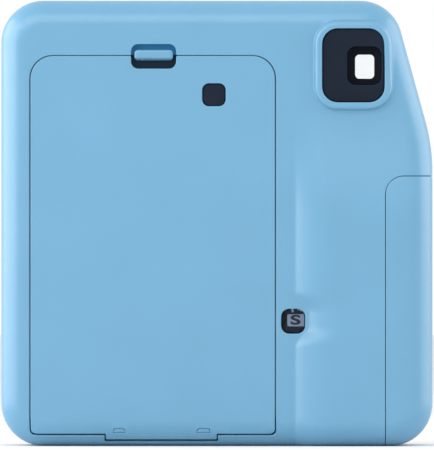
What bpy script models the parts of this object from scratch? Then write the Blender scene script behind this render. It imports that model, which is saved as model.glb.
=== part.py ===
"""Instant camera: plastic case, film door, battery cover, lens, finder and film drive, each piece a solid.

+X is the photographer's right, +Y the way the lens looks, and +Z is up, with the base at Z = 0.
Sizes below are in millimetres, and the helpers turn them into metres.
"""

import math

import bmesh
import bpy
from mathutils import Matrix, Vector
from mathutils.geometry import delaunay_2d_cdt

MM = 0.001
TINY = 1e-6
GAP = 0.3

# Case
BODY_WIDTH = 122.0
BODY_HEIGHT = 126.0
HALF_WIDTH = BODY_WIDTH / 2
REAR_PLANE = -26.0
FRONT_PLANE = 17.5
SEAM = -4.0
WALL = 2.0
CORNER = 12.0
SHOULDER_X = 49.7
SHOULDER_Z = 85.0
SHOULDER_BLEND = 52.0
REAR_ROUNDING = 7.0
FRONT_ROUNDING = 8.0

# Grip swelling on the rear face
GRIP_HEIGHT = 3.0
GRIP_X = 20.6
GRIP_STEP = 5.0
GRIP_TOP = 94.0
GRIP_FULL = 52.0
NOTCH_LOW = 28.3
NOTCH_HIGH = 42.2
NOTCH_SHIFT = 5.2

# Film door and its hinge
DOOR_X = (-52.8, 16.6)
DOOR_Z = (3.4, 110.3)
DOOR_CORNER = 6.0
DOOR_GAP = 0.4
TAB_X = (-31.4, 0.0)
TAB_BOTTOM = 1.8
HINGE_Y = -24.4
HINGE_Z = 4.3
HINGE_FINGERS = ((-29.2, -26.0), (-5.5, -1.9))
PIN_RADIUS = 0.5
PIN_BORE = 0.8

# Latch
RECESS_X = (-24.2, -11.5)
RECESS_Z = (106.7, 113.6)
LATCH_BAR_X = (-23.3, -12.4)
LATCH_BAR_Z = (109.4, 112.0)
KEEPER_Z = (112.4, 117.5)

# Windows seen from behind
FILM_WINDOW_X = (-4.3, 2.7)
FILM_WINDOW_Z = (95.9, 102.7)
COUNTER_X = (18.2, 25.0)
COUNTER_Z = (31.8, 38.8)
EYEPIECE_X = (29.9, 47.3)
EYEPIECE_Z = (97.3, 117.9)
RIM_WIDTH = 2.3
RIM_REAR = -27.8
SIGHT_X = (39.0, 44.6)
SIGHT_Z = (103.8, 110.7)
FINDER_X = (36.8, 46.8)
FINDER_Z = (102.6, 112.0)

# Battery bay
BATTERY_X = 47.6
BATTERY_TOP = 76.4
BATTERY_TOP_CORNER = 5.0
CELL_RADIUS = 7.8
CELL_LENGTH = 27.0
CELL_X = 50.0
CELL_Y = -10.5
TRAY_X = (40.4, 58.0)
TRAY_Y = (-20.0, -1.2)
TRAY_Z = (9.5, 72.0)

# Film chamber, light box and picture
CHAMBER_X = (-52.2, 16.2)
CHAMBER_Z = (5.0, 108.0)
CHAMBER_REAR = -22.4
CHAMBER_FRONT = -6.4
CHAMBER_WALL = 1.6
PICTURE_HALF_X = 24.0
PICTURE_HALF_Z = 32.0

# Lens, on one axis along Y
LENS_X = -18.0
LENS_Z = 60.0
LENS_FRONT = 29.0
BARREL_RADIUS = 24.2
RING_RADIUS = 31.8

# Film drive: roller axes along X, and gears of one module
MODULE = 0.5
GEAR_X = (17.7, 19.7)
DRIVE_Y = -5.6
ROLLER_Z = 115.0
ROLLER_TEETH = 16
IDLER_TEETH = 28
PINION_TEETH = 14
IDLER_OFFSET_Y = 3.0
PINION_OFFSET_Y = 3.2
ROLLER_RADIUS = 3.7
AXLE_RADIUS = 1.1
BRACKET_LEFT_X = (-51.0, -49.4)
BRACKET_RIGHT_X = (13.8, 15.4)
EXIT_X = (-48.5, 12.5)
EXIT_Y = (-11.5, -7.7)

# Shutter button and film counter
BUTTON_X = 43.5
BUTTON_Z = 80.0
BUTTON_RADIUS = 6.4
DIAL_X = 31.5
DIAL_Z = 35.3
DIAL_RADIUS = 12.0

for old in list(bpy.data.objects):
    bpy.data.objects.remove(old, do_unlink=True)

PARTS = bpy.data.collections.new("instant_camera")
CUTTERS = bpy.data.collections.new("cutters")
bpy.context.scene.collection.children.link(PARTS)
bpy.context.scene.collection.children.link(CUTTERS)


def material(name, colour, roughness, metallic=0.0):
    """A Principled material, made once for each name."""
    found = bpy.data.materials.get(name)
    if found:
        return found
    made = bpy.data.materials.new(name)
    made.use_nodes = True
    shader = made.node_tree.nodes["Principled BSDF"]
    shader.inputs["Base Color"].default_value = (*colour, 1.0)
    shader.inputs["Roughness"].default_value = roughness
    shader.inputs["Metallic"].default_value = metallic
    return made


BLUE = material("case_plastic", (0.20, 0.46, 0.70), 0.45)
LATCH_BLUE = material("latch_plastic", (0.18, 0.45, 0.68), 0.35)
BLACK = material("black_plastic", (0.015, 0.016, 0.02), 0.5)
GLOSS_BLACK = material("gloss_black", (0.015, 0.018, 0.04), 0.12)
GREY = material("grey_plastic", (0.30, 0.31, 0.33), 0.5)
WHITE = material("white_plastic", (0.75, 0.76, 0.78), 0.4)
CLEAR = material("clear_plastic", (0.80, 0.85, 0.88), 0.05)
STEEL = material("steel", (0.55, 0.56, 0.58), 0.3, 1.0)
BRASS = material("brass", (0.65, 0.48, 0.20), 0.3, 1.0)
RUBBER = material("rubber", (0.03, 0.03, 0.03), 0.85)
BOARD = material("circuit_board", (0.02, 0.20, 0.10), 0.5)
CELL = material("cell_sleeve", (0.10, 0.12, 0.30), 0.35)

AXIS_TURN = {
    "X": Matrix(((0, 0, 1), (1, 0, 0), (0, 1, 0))).to_4x4(),
    "Y": Matrix(((1, 0, 0), (0, 0, -1), (0, 1, 0))).to_4x4(),
    "Z": Matrix.Identity(4),
}


# ---- Outlines: lists of (u, v) points in millimetres ----


def rounded(corners, inset=0.0, steps=5):
    """An outline through counter-clockwise corners (u, v, radius), moved inwards by inset."""
    points = []
    count = len(corners)
    for index in range(count):
        before = Vector(corners[index - 1][:2])
        corner = Vector(corners[index][:2])
        after = Vector(corners[(index + 1) % count][:2])
        arriving = (corner - before).normalized()
        leaving = (after - corner).normalized()
        turn = math.atan2(arriving.cross(leaving), arriving.dot(leaving))
        side = 1.0 if turn > 0 else -1.0
        normal = Vector((-arriving.y, arriving.x))
        normal_after = Vector((-leaving.y, leaving.x))
        moved = corner + (normal + normal_after) * inset / (1 + normal.dot(normal_after))
        radius = max(corners[index][2] - inset * side, 0.2)
        start = moved - arriving * radius * math.tan(abs(turn) / 2)
        centre = start + normal * radius * side
        for step in range(steps + 1):
            angle = turn * step / steps
            spoke = Matrix.Rotation(angle, 2) @ (start - centre)
            points.append(centre + spoke)
    return points


def rounded_box(u, v, radius, steps=5):
    """A rounded rectangle from its ranges."""
    corners = ((u[0], v[0]), (u[1], v[0]), (u[1], v[1]), (u[0], v[1]))
    return rounded([(*corner, radius) for corner in corners], steps=steps)


def grown(span, by):
    """A range made wider by the same amount at both ends."""
    return (span[0] - by, span[1] + by)


def circle(centre, radius, sides=24):
    """A circle's points, counter-clockwise."""
    turn = 2 * math.pi / sides
    return [
        Vector((centre[0] + radius * math.cos(k * turn), centre[1] + radius * math.sin(k * turn)))
        for k in range(sides)
    ]


def bowed_strip(depth, span, rise, thickness, steps=10):
    """A thin strip along v that bows towards +u."""
    along = [span[0] + (span[1] - span[0]) * k / steps for k in range(steps + 1)]
    bow = [depth + rise * math.sin(math.pi * k / steps) for k in range(steps + 1)]
    front = [Vector((u + thickness, v)) for u, v in zip(bow, along)]
    back = [Vector((u, v)) for u, v in zip(bow, along)]
    return front + back[::-1]


CASE_CORNERS = (
    (-HALF_WIDTH, 0.0, CORNER),
    (HALF_WIDTH, 0.0, CORNER),
    (HALF_WIDTH, SHOULDER_Z, SHOULDER_BLEND),
    (SHOULDER_X, BODY_HEIGHT, CORNER),
    (-HALF_WIDTH, BODY_HEIGHT, CORNER),
)


# ---- Solids ----


def add_mesh(name, work, look):
    """A new part from a bmesh in metres."""
    mesh = bpy.data.meshes.new(name)
    work.to_mesh(mesh)
    work.free()
    made = bpy.data.objects.new(name, mesh)
    mesh.materials.append(look)
    PARTS.objects.link(made)
    return made


def smooth(part, degrees=35.0):
    """Smooth shading that keeps the hard edges."""
    part.data.shade_smooth()
    part.data.set_sharp_from_angle(angle=math.radians(degrees))
    return part


def plate(name, axis, low, high, outline, look, holes=()):
    """A flat outline with holes, thick from low to high along one axis."""
    curve = bpy.data.curves.new(name, "CURVE")
    curve.dimensions = "2D"
    curve.fill_mode = "BOTH"
    curve.extrude = (high - low) / 2 * MM
    for loop in (outline, *holes):
        spline = curve.splines.new("POLY")
        spline.points.add(len(loop) - 1)
        for point, (u, v) in zip(spline.points, loop):
            point.co = (u * MM, v * MM, 0.0, 1.0)
        spline.use_cyclic_u = True
    guide = bpy.data.objects.new(name + "_outline", curve)
    PARTS.objects.link(guide)
    turn = AXIS_TURN[axis]
    middle = (low + high) / 2 * MM
    shift = {"X": (middle, 0, 0), "Y": (0, middle, 0), "Z": (0, 0, middle)}[axis]
    guide.matrix_world = Matrix.Translation(shift) @ turn
    bpy.context.view_layer.update()
    depsgraph = bpy.context.evaluated_depsgraph_get()
    mesh = bpy.data.meshes.new_from_object(guide.evaluated_get(depsgraph))
    work = bmesh.new()
    work.from_mesh(mesh)
    bmesh.ops.remove_doubles(work, verts=work.verts, dist=TINY)
    work.transform(guide.matrix_world)
    bpy.data.objects.remove(guide, do_unlink=True)
    bpy.data.meshes.remove(mesh)
    return add_mesh(name, work, look)


def block(name, x, y, z, look, bevel=0.0):
    """A box between three ranges, with its edges bevelled where asked."""
    work = bmesh.new()
    bmesh.ops.create_cube(work, size=1.0)
    size = Matrix.Diagonal(((x[1] - x[0]) * MM, (y[1] - y[0]) * MM, (z[1] - z[0]) * MM, 1.0))
    middle = Vector((x[0] + x[1], y[0] + y[1], z[0] + z[1])) * MM / 2
    work.transform(Matrix.Translation(middle) @ size)
    made = add_mesh(name, work, look)
    if bevel:
        edge = made.modifiers.new("edges", "BEVEL")
        edge.width = bevel * MM
        edge.segments = 2
    return made


def rod(name, axis, centre, radius, low, high, look, sides=20):
    """A round bar along one axis; centre is its place in the other two, in axis order."""
    work = bmesh.new()
    bmesh.ops.create_cone(
        work, cap_ends=True, segments=sides, radius1=radius * MM, radius2=radius * MM, depth=(high - low) * MM
    )
    middle = (low + high) / 2
    places = {
        "X": (middle, centre[0], centre[1]),
        "Y": (centre[0], middle, centre[1]),
        "Z": (centre[0], centre[1], middle),
    }
    work.transform(Matrix.Translation(Vector(places[axis]) * MM) @ AXIS_TURN[axis])
    return smooth(add_mesh(name, work, look))


def frustum(name, depth, rear, front, look):
    """A rectangular frustum on the lens axis; rear and front are half sizes."""
    work = bmesh.new()
    rings = []
    for y, (half_x, half_z) in zip(depth, (rear, front)):
        corners = ((-half_x, -half_z), (half_x, -half_z), (half_x, half_z), (-half_x, half_z))
        rings.append([work.verts.new(((LENS_X + u) * MM, y * MM, (LENS_Z + v) * MM)) for u, v in corners])
    for k in range(4):
        after = (k + 1) % 4
        work.faces.new((rings[0][k], rings[1][k], rings[1][after], rings[0][after]))
    work.faces.new(rings[0])
    work.faces.new(rings[1][::-1])
    return add_mesh(name, work, look)


def turned(name, axis, centre, profile, look, sides=40, closed=True):
    """A turned part: profile is (radius, height along the axis), down the outer side and up the inner."""
    mesh = bpy.data.meshes.new(name)
    points = [(radius * MM, 0.0, height * MM) for radius, height in profile]
    edges = [(k, k + 1) for k in range(len(points) - 1)]
    if closed:
        edges.append((len(points) - 1, 0))
    mesh.from_pydata(points, edges, [])
    mesh.materials.append(look)
    made = bpy.data.objects.new(name, mesh)
    PARTS.objects.link(made)
    places = {"Y": (centre[0], 0.0, centre[1]), "Z": (centre[0], centre[1], 0.0), "X": (0.0, *centre)}
    upright = Matrix.Rotation(math.radians(-90), 4, "X") if axis == "Y" else AXIS_TURN[axis]
    made.matrix_world = Matrix.Translation(Vector(places[axis]) * MM) @ upright
    screw = made.modifiers.new("turned", "SCREW")
    screw.steps = sides
    screw.render_steps = sides
    screw.use_merge_vertices = True
    screw.merge_threshold = TINY
    screw.use_smooth_shade = True
    return made


def spring(name, start, axis, length, radius, wire, turns, look):
    """A coil spring along one axis from its start point."""
    curve = bpy.data.curves.new(name, "CURVE")
    curve.dimensions = "3D"
    curve.bevel_depth = wire / 2 * MM
    curve.bevel_resolution = 1
    curve.use_fill_caps = True
    spline = curve.splines.new("POLY")
    per_turn = 8
    count = int(turns * per_turn) + 1
    spline.points.add(count - 1)
    for k, point in enumerate(spline.points):
        angle = 2 * math.pi * k / per_turn
        along = length * k / (count - 1)
        local = Vector((radius * math.cos(angle), radius * math.sin(angle), along))
        place = AXIS_TURN[axis].to_3x3() @ local if axis != "Y" else Vector((local.x, local.z, local.y))
        point.co = (*((Vector(start) + place) * MM), 1.0)
    made = bpy.data.objects.new(name, curve)
    curve.materials.append(look)
    PARTS.objects.link(made)
    return made


def as_cutter(part):
    """Takes a solid out of the parts and keeps it as a cutter."""
    PARTS.objects.unlink(part)
    CUTTERS.objects.link(part)
    part.hide_render = True
    part.display_type = "WIRE"
    return part


def combine(part, other, operation):
    """One exact Boolean with another solid, which becomes a cutter."""
    step = part.modifiers.new(operation.lower(), "BOOLEAN")
    step.operation = operation
    step.solver = "EXACT"
    step.object = as_cutter(other)
    return part


def cut(part, *others):
    """Takes each of the other solids away."""
    for other in others:
        combine(part, other, "DIFFERENCE")
    return part


def join(part, *others):
    """Adds each of the other solids."""
    for other in others:
        combine(part, other, "UNION")
    return part


# ---- The case's skin: one rounded surface for each half, thickened inwards ----


def ease(value):
    """A smooth step from 0 to 1."""
    value = min(max(value, 0.0), 1.0)
    return value * value * (3 - 2 * value)


def grip_height(x, z):
    """How far the grip swells out of the rear face."""
    notch = ease((z - NOTCH_LOW) / 3 + 0.5) * ease((NOTCH_HIGH - z) / 3 + 0.5)
    step = ease((x - GRIP_X - NOTCH_SHIFT * notch) / GRIP_STEP)
    return GRIP_HEIGHT * step * ease((GRIP_TOP - z) / (GRIP_TOP - GRIP_FULL))


def flat(_x, _z):
    """No swelling."""
    return 0.0


def edge_shares(swelling, grid):
    """For each edge of the case outline, the shares of its length that need a point for the swelling."""
    points = rounded(CASE_CORNERS)
    shares = []
    for start, end in zip(points, points[1:] + points[:1]):
        count = int((end - start).length / grid) + 1
        heights = [swelling(*start.lerp(end, k / count)) for k in range(-1, count + 2)]
        shares.append([k / count for k in range(1, count) if any(heights[k : k + 3])])
    return shares


def divided(points, shares):
    """An outline with the extra points at the given shares of its edges."""
    made = []
    for start, end, extra in zip(points, points[1:] + points[:1], shares):
        made.append(start)
        made.extend(start.lerp(end, share) for share in extra)
    return made


def hull(name, plane, rounding, swelling, grid, wall=0.0, steps=4):
    """Half of the case as a solid, or its hollow when a wall is given; grid spaces the inner points."""
    outward = -1.0 if plane < SEAM else 1.0
    plane -= outward * wall
    rounding -= wall
    seam = SEAM - outward * (1.0 if wall else 0.0)
    work = bmesh.new()
    shares = edge_shares(swelling, grid)

    def vertex(point, depth):
        height = outward * swelling(point.x, point.y)
        return work.verts.new((point.x * MM, (depth + height) * MM, point.y * MM))

    def case_outline(inset):
        return divided(rounded(CASE_CORNERS, inset), shares)

    rings = [[work.verts.new((p.x * MM, seam * MM, p.y * MM)) for p in case_outline(wall)]]
    for step in range(steps + 1):
        angle = math.pi / 2 * step / steps
        inset = wall + rounding * (1 - math.cos(angle))
        depth = plane - outward * rounding * (1 - math.sin(angle))
        rings.append([vertex(point, depth) for point in case_outline(inset)])
    for low, high in zip(rings, rings[1:]):
        for k in range(len(low)):
            after = (k + 1) % len(low)
            work.faces.new((low[k], low[after], high[after], high[k]))
    work.faces.new(rings[0][::-1])
    edge = case_outline(wall + rounding)
    inside = rounded(CASE_CORNERS, wall + rounding + grid / 3)
    columns = range(int(HALF_WIDTH / grid) + 1)
    rows = range(int(BODY_HEIGHT / grid) + 1)
    spots = [Vector((column * grid, row * grid)) for column in columns for row in rows]
    swollen = [spot for spot in spots if swelling(spot.x, spot.y) + swelling(spot.x + grid, spot.y) > 0]
    spots = [spot for spot in swollen if within(spot, inside)]
    found = delaunay_2d_cdt(edge + spots, [], [list(range(len(edge)))], 1, TINY)
    fill = [vertex(point, plane) for point in found[0]]
    for face in found[2]:
        work.faces.new([fill[k] for k in face])
    bmesh.ops.remove_doubles(work, verts=work.verts, dist=TINY)
    bmesh.ops.recalc_face_normals(work, faces=work.faces)
    return smooth(add_mesh(name, work, BLUE), 50.0)


def skin(name, plane, rounding, swelling, grid):
    """Half of the case's wall, from the seam to its outer plane."""
    return cut(
        hull(name, plane, rounding, swelling, grid),
        hull(name + "_hollow", plane, rounding, swelling, grid, WALL),
    )


def within(point, outline):
    """Whether a point is inside a convex counter-clockwise outline."""
    ends = outline[1:] + outline[:1]
    return all((b - a).cross(point - a) > 0 for a, b in zip(outline, ends) if (b - a).length > TINY)


def rear_skin(name):
    """The rear half with the grip's swelling."""
    return skin(name, REAR_PLANE, REAR_ROUNDING, grip_height, 5.0)


def door_outline(gap):
    """The film door with its hinge tab, made larger by the gap (and twice as much below)."""
    left, right = DOOR_X[0] - gap, DOOR_X[1] + gap
    bottom, top = DOOR_Z[0] - gap * 1.5, DOOR_Z[1] + gap
    tab_left, tab_right = TAB_X[0] - gap, TAB_X[1] + gap
    tab = TAB_BOTTOM - gap * 1.5
    return rounded(
        [
            (left, bottom, 1.2),
            (tab_left, bottom, 0.3),
            (tab_left, tab, 0.4),
            (tab_right, tab, 0.4),
            (tab_right, bottom, 0.3),
            (right, bottom, 1.2),
            (right, top, DOOR_CORNER + gap),
            (left, top, DOOR_CORNER + gap),
        ],
        steps=4,
    )


def battery_outline(gap):
    """The battery cover's corner of the case, made larger by the gap."""
    far = HALF_WIDTH + 5
    left, top = BATTERY_X + GAP - gap, BATTERY_TOP - GAP + gap
    return rounded(
        [(left, -5.0, 0.4), (far, -5.0, 0.4), (far, top, 0.4), (left, top, BATTERY_TOP_CORNER + gap)], steps=4
    )


def recess_cutter(name):
    """The latch recess, which the case and the door share."""
    return plate(name, "Y", -30.0, -21.0, rounded_box(RECESS_X, RECESS_Z, 2.0), BLACK)


def build_rear_shell():
    """The rear half of the case, open for the door, windows, battery cover and film exit."""
    shell = rear_skin("rear_shell")
    rim_outer = rounded_box(grown(EYEPIECE_X, RIM_WIDTH), grown(EYEPIECE_Z, RIM_WIDTH), 6.6)
    join(shell, plate("eyepiece_rim_solid", "Y", RIM_REAR, REAR_PLANE + 1.2, rim_outer, BLUE))
    eyepiece = rounded_box(grown(EYEPIECE_X, GAP), grown(EYEPIECE_Z, GAP), 4.3 + GAP)
    counter = rounded_box(COUNTER_X, COUNTER_Z, 2.3)
    cut(
        shell,
        plate("eyepiece_hole", "Y", -30.0, -22.0, eyepiece, BLUE),
        plate("door_hole", "Y", -30.0, -20.6, door_outline(DOOR_GAP), BLUE),
        plate("counter_hole", "Y", -31.0, -22.0, counter, BLUE),
        plate("battery_hole", "Y", -31.0, SEAM + 1.0, battery_outline(GAP), BLUE),
        recess_cutter("shell_recess"),
        block("exit_slot", EXIT_X, EXIT_Y, (BODY_HEIGHT - 6, BODY_HEIGHT + 2), BLUE),
    )
    for number, span in enumerate(HINGE_FINGERS):
        finger = rounded(
            [(-23.3, 0.6, 0.2), (-20.9, 0.4, 0.2), (-20.9, 2.6, 0.4), (-23.3, 5.4, 1.0), (-25.5, 5.4, 1.0),
             (-25.5, 3.2, 1.0)],
            steps=3,
        )
        join(shell, plate(f"hinge_finger_{number}", "X", *span, finger, BLUE))
    for number, span in enumerate(HINGE_FINGERS):
        bore = grown(span, 1.0)
        cut(shell, rod(f"finger_bore_{number}", "X", (HINGE_Y, HINGE_Z), PIN_BORE, *bore, BLUE, 12))
    return shell


def build_film_door():
    """The film door, cut from the same skin, with its window, latch recess and hinge bores."""
    door = rear_skin("film_door")
    combine(door, plate("door_outline", "Y", -30.0, -22.4, door_outline(0.0), BLUE), "INTERSECT")
    window = rounded_box(FILM_WINDOW_X, FILM_WINDOW_Z, 1.8)
    cut(
        door,
        plate("film_window_hole", "Y", -30.0, -21.0, window, BLUE),
        recess_cutter("door_recess"),
    )
    for number, span in enumerate(HINGE_FINGERS):
        cut(door, block(f"hinge_slot_{number}", grown(span, 0.4), (-30.0, -20.0), (-1.0, 6.4), BLUE))
        bore = grown(span, 4.2)
        cut(door, rod(f"door_bore_{number}", "X", (HINGE_Y, HINGE_Z), PIN_BORE, *bore, BLUE, 12))
        rod(
            f"hinge_pin_{'left' if number == 0 else 'right'}",
            "X", (HINGE_Y, HINGE_Z), PIN_RADIUS, *grown(span, 3.8), STEEL, 12,
        )
    return door


def build_door_fittings():
    """What the film door carries: window, liner, leaf springs, latch and its spring."""
    window = rounded_box(grown(FILM_WINDOW_X, -GAP), grown(FILM_WINDOW_Z, -GAP), 1.5)
    plate("film_window", "Y", -25.4, -24.2, window, GLOSS_BLACK)
    plate("door_liner", "Y", -23.7, -22.5, rounded_box((-48.5, 12.5), (8.0, 94.0), 2.0, 3), BLACK)
    for side, middle in (("left", -34.0), ("right", -2.0)):
        leaf = bowed_strip(-22.2, (30.0, 74.0), 2.6, 0.4)
        plate(f"pressure_spring_{side}", "X", middle - 4, middle + 4, leaf, STEEL)
    join(
        block("door_latch", LATCH_BAR_X, (-26.3, -24.1), LATCH_BAR_Z, LATCH_BLUE, 0.5),
        block("latch_slider", (-25.4, -10.6), (-23.7, -22.9), (103.0, 110.2), LATCH_BLUE),
        block("latch_neck", (-22.0, -14.0), (-24.8, -23.2), (109.6, 110.0), LATCH_BLUE),
    )
    spring("latch_spring", (-18.0, -23.2, 95.0), "Z", 7.4, 0.5, 0.3, 6, STEEL)
    plate("latch_keeper", "Y", -23.7, -22.7, rounded_box((-27.0, -9.0), KEEPER_Z, 1.0, 3), BLUE)


def build_battery_bay():
    """The battery cover, the tray, two cells and their contact springs."""
    cover = rear_skin("battery_cover")
    outline = battery_outline(0.0)
    combine(cover, plate("battery_outline", "Y", -31.0, SEAM - GAP, outline, BLUE), "INTERSECT")
    tray = block("battery_tray", TRAY_X, TRAY_Y, TRAY_Z, BLACK)
    inner_x = (TRAY_X[0] + 1.5, TRAY_X[1] + 2)
    inner_y = (TRAY_Y[0] + 1.4, TRAY_Y[1] - 1.4)
    inner_z = (TRAY_Z[0] + 1.4, TRAY_Z[1] - 1.4)
    cut(tray, block("tray_hollow", inner_x, inner_y, inner_z, BLACK))
    low = TRAY_Z[0] + 1.4 + 3.2
    for name, bottom in (("lower", low), ("upper", low + CELL_LENGTH + 1.0)):
        profile = [
            (0.0, bottom + CELL_LENGTH),
            (3.0, bottom + CELL_LENGTH),
            (3.0, bottom + CELL_LENGTH - 1.0),
            (CELL_RADIUS, bottom + CELL_LENGTH - 1.4),
            (CELL_RADIUS, bottom + 0.4),
            (CELL_RADIUS - 0.4, bottom),
            (0.0, bottom),
        ]
        turned(f"battery_cell_{name}", "Z", (CELL_X, CELL_Y), profile, CELL, 28, closed=False)
    spring("battery_spring", (CELL_X, CELL_Y, low - 2.9), "Z", 2.3, 3.0, 0.5, 2.5, STEEL)


def build_finder():
    """The see-through finder: eyepiece panel and lens, tube and front lens."""
    outline = rounded_box(EYEPIECE_X, EYEPIECE_Z, 4.3)
    sight = rounded_box(SIGHT_X, SIGHT_Z, 1.2)
    panel = plate("eyepiece_panel", "Y", -27.0, -24.4, outline, GLOSS_BLACK, [sight])
    recess = rounded_box((36.9, 46.5), (102.1, 112.9), 1.6)
    cut(panel, plate("sight_recess", "Y", -28.0, -25.6, recess, BLACK))
    lens = rounded_box(grown(SIGHT_X, 0.8), grown(SIGHT_Z, 0.8), 1.2)
    plate("eyepiece_lens", "Y", -24.1, -23.1, lens, CLEAR)
    outer = rounded_box(grown(FINDER_X, 1.5), grown(FINDER_Z, 1.4), 1.5, 3)
    inner = rounded_box(grown(FINDER_X, 0.2), grown(FINDER_Z, 0.2), 0.8, 3)
    plate("finder_tube", "Y", -22.8, 13.6, outer, BLACK, [inner])
    plate("finder_front_lens", "Y", 15.7, 17.2, rounded_box(FINDER_X, FINDER_Z, 1.0), CLEAR)


def build_counter():
    """The film counter: its window, dial and post."""
    window = rounded_box(grown(COUNTER_X, -GAP), grown(COUNTER_Z, -GAP), 2.0)
    plate("counter_window", "Y", -25.4, -24.2, window, CLEAR)
    rim = circle((DIAL_X, DIAL_Z), DIAL_RADIUS, 36)
    plate("counter_dial", "Y", -23.2, -22.0, rim, GREY, [circle((DIAL_X, DIAL_Z), 1.7, 16)])
    rod("dial_post", "Y", (DIAL_X, DIAL_Z), 1.3, -24.2, 1.7, BLACK, 16)


def build_front_shell():
    """The front half of the case with its lens, finder, flash, sensor and button openings."""
    shell = skin("front_shell", FRONT_PLANE, FRONT_ROUNDING, flat, 6.0)
    finder = rounded_box(grown(FINDER_X, GAP), grown(FINDER_Z, GAP), 1.3, 3)
    flash = rounded_box((7.7, 32.3), (99.7, 113.3), 2.3, 3)
    sensor = rounded_box((-46.3, -33.7), (101.2, 106.8), 2.7, 4)
    # A hair off the seam, so that the two halves keep a gap.
    cut(
        shell,
        rod("lens_hole", "Y", (LENS_X, LENS_Z), BARREL_RADIUS + 0.6, 10.0, 20.0, BLUE, 36),
        plate("finder_hole", "Y", 10.0, 20.0, finder, BLUE),
        plate("flash_hole", "Y", 10.0, 20.0, flash, BLUE),
        plate("sensor_hole", "Y", 10.0, 20.0, sensor, BLUE),
        rod("button_hole", "Y", (BUTTON_X, BUTTON_Z), BUTTON_RADIUS + 0.4, 10.0, 20.0, BLUE, 32),
        block("seam_gap", (-70, 70), (SEAM - 1, SEAM + GAP), (-5, 135), BLUE),
    )
    return shell


def build_film_chamber():
    """The film frame, open to the rear, the light box, the foam seals and the film claw."""
    outer = rounded_box(CHAMBER_X, CHAMBER_Z, 2.0, 3)
    frame = plate("film_frame", "Y", CHAMBER_REAR, CHAMBER_FRONT, outer, BLACK)
    hollow_x = grown(CHAMBER_X, -CHAMBER_WALL)
    hollow_z = grown(CHAMBER_Z, -CHAMBER_WALL)
    picture_x = (LENS_X - PICTURE_HALF_X, LENS_X + PICTURE_HALF_X)
    picture_z = (LENS_Z - PICTURE_HALF_Z, LENS_Z + PICTURE_HALF_Z)
    cut(
        frame,
        block("chamber_hollow", hollow_x, (-30.0, CHAMBER_FRONT - CHAMBER_WALL), hollow_z, BLACK),
        block("picture_hole", picture_x, (-12.0, 0.0), picture_z, BLACK),
        block("hinge_relief", (-60.0, 20.0), (-30.0, -20.2), (0.0, 6.8), BLACK),
        block("film_exit", EXIT_X, EXIT_Y, (100.0, 112.0), BLACK),
        block("claw_slot", (9.8, 12.6), (-12.0, 0.0), (14.0, 26.0), BLACK),
    )
    small, wall = 10.0, 1.3
    box = frustum(
        "light_box", (-6.0, 7.0), (PICTURE_HALF_X + wall, PICTURE_HALF_Z + wall), (small, small), BLACK
    )
    picture = (PICTURE_HALF_X, PICTURE_HALF_Z)
    cut(box, frustum("light_cone", (-6.4, 5.6), picture, (small - wall, small - wall), BLACK))
    cut(box, rod("light_hole", "Y", (LENS_X, LENS_Z), 6.6, 3.0, 9.0, BLACK, 24))
    for side, span in (("left", (-52.0, -50.8)), ("right", (14.8, 16.0))):
        block(f"light_seal_{side}", span, (-23.7, -22.7), (9.0, 100.0), RUBBER)
    claw = block("film_claw", (9.2, 13.2), (-6.0, -5.1), (10.0, 24.0), STEEL)
    join(claw, block("claw_finger", (10.4, 12.0), (-9.0, -5.5), (16.0, 18.0), STEEL))


def build_lens():
    """The lens: base ring, control ring, sliding barrel, guide, glasses, face and self-portrait mirror."""
    centre = (LENS_X, LENS_Z)
    turned(
        "lens_base_ring", "Y", centre,
        [(32.4, 21.2), (34.4, 21.2), (35.2, 20.4), (35.2, 17.8), (32.4, 17.8)], BLUE, 36,
    )
    turned(
        "lens_ring", "Y", centre,
        [(24.9, LENS_FRONT - 1.6), (26.4, LENS_FRONT), (RING_RADIUS - 1.4, LENS_FRONT),
         (RING_RADIUS, LENS_FRONT - 1.4), (RING_RADIUS, 18.0), (24.9, 18.0)],
        GREY, 36,
    )
    turned(
        "lens_barrel", "Y", centre,
        [(11.2, 26.6), (BARREL_RADIUS - 0.6, 26.6), (BARREL_RADIUS, 26.0), (BARREL_RADIUS, 12.6),
         (22.7, 12.6), (22.7, 25.1), (11.2, 25.1)],
        BLACK, 36,
    )
    turned(
        "lens_guide", "Y", centre,
        [(20.8, 24.2), (22.2, 24.2), (22.2, 11.2), (20.8, 11.2)], BLACK, 32,
    )
    face = turned(
        "lens_face", "Y", centre,
        [(11.6, 27.6), (12.2, 28.0), (22.6, 28.0), (23.3, 27.6), (23.3, 26.9), (11.6, 26.9)], GLOSS_BLACK, 36,
    )
    mirror_at = (LENS_X + 13.2, LENS_Z + 11.0)
    cut(face, rod("mirror_hole", "Y", mirror_at, 3.9, 20.0, 30.0, BLACK, 20))
    turned(
        "selfie_mirror", "Y", mirror_at,
        [(0.0, 28.3), (1.8, 28.2), (3.5, 27.9), (3.5, 26.9), (0.0, 26.9)], STEEL, 20, closed=False,
    )
    front = [(0.0, 27.6), (4.0, 27.3), (8.0, 26.4), (10.8, 25.4), (10.8, 24.4), (0.0, 24.4)]
    turned("lens_front_element", "Y", centre, front, CLEAR, 32, closed=False)
    rear = [(0.0, 8.3), (3.0, 8.1), (6.2, 7.4), (6.2, 6.4), (3.0, 5.6), (0.0, 5.4)]
    turned("lens_rear_element", "Y", centre, rear, CLEAR, 24, closed=False)


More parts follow.
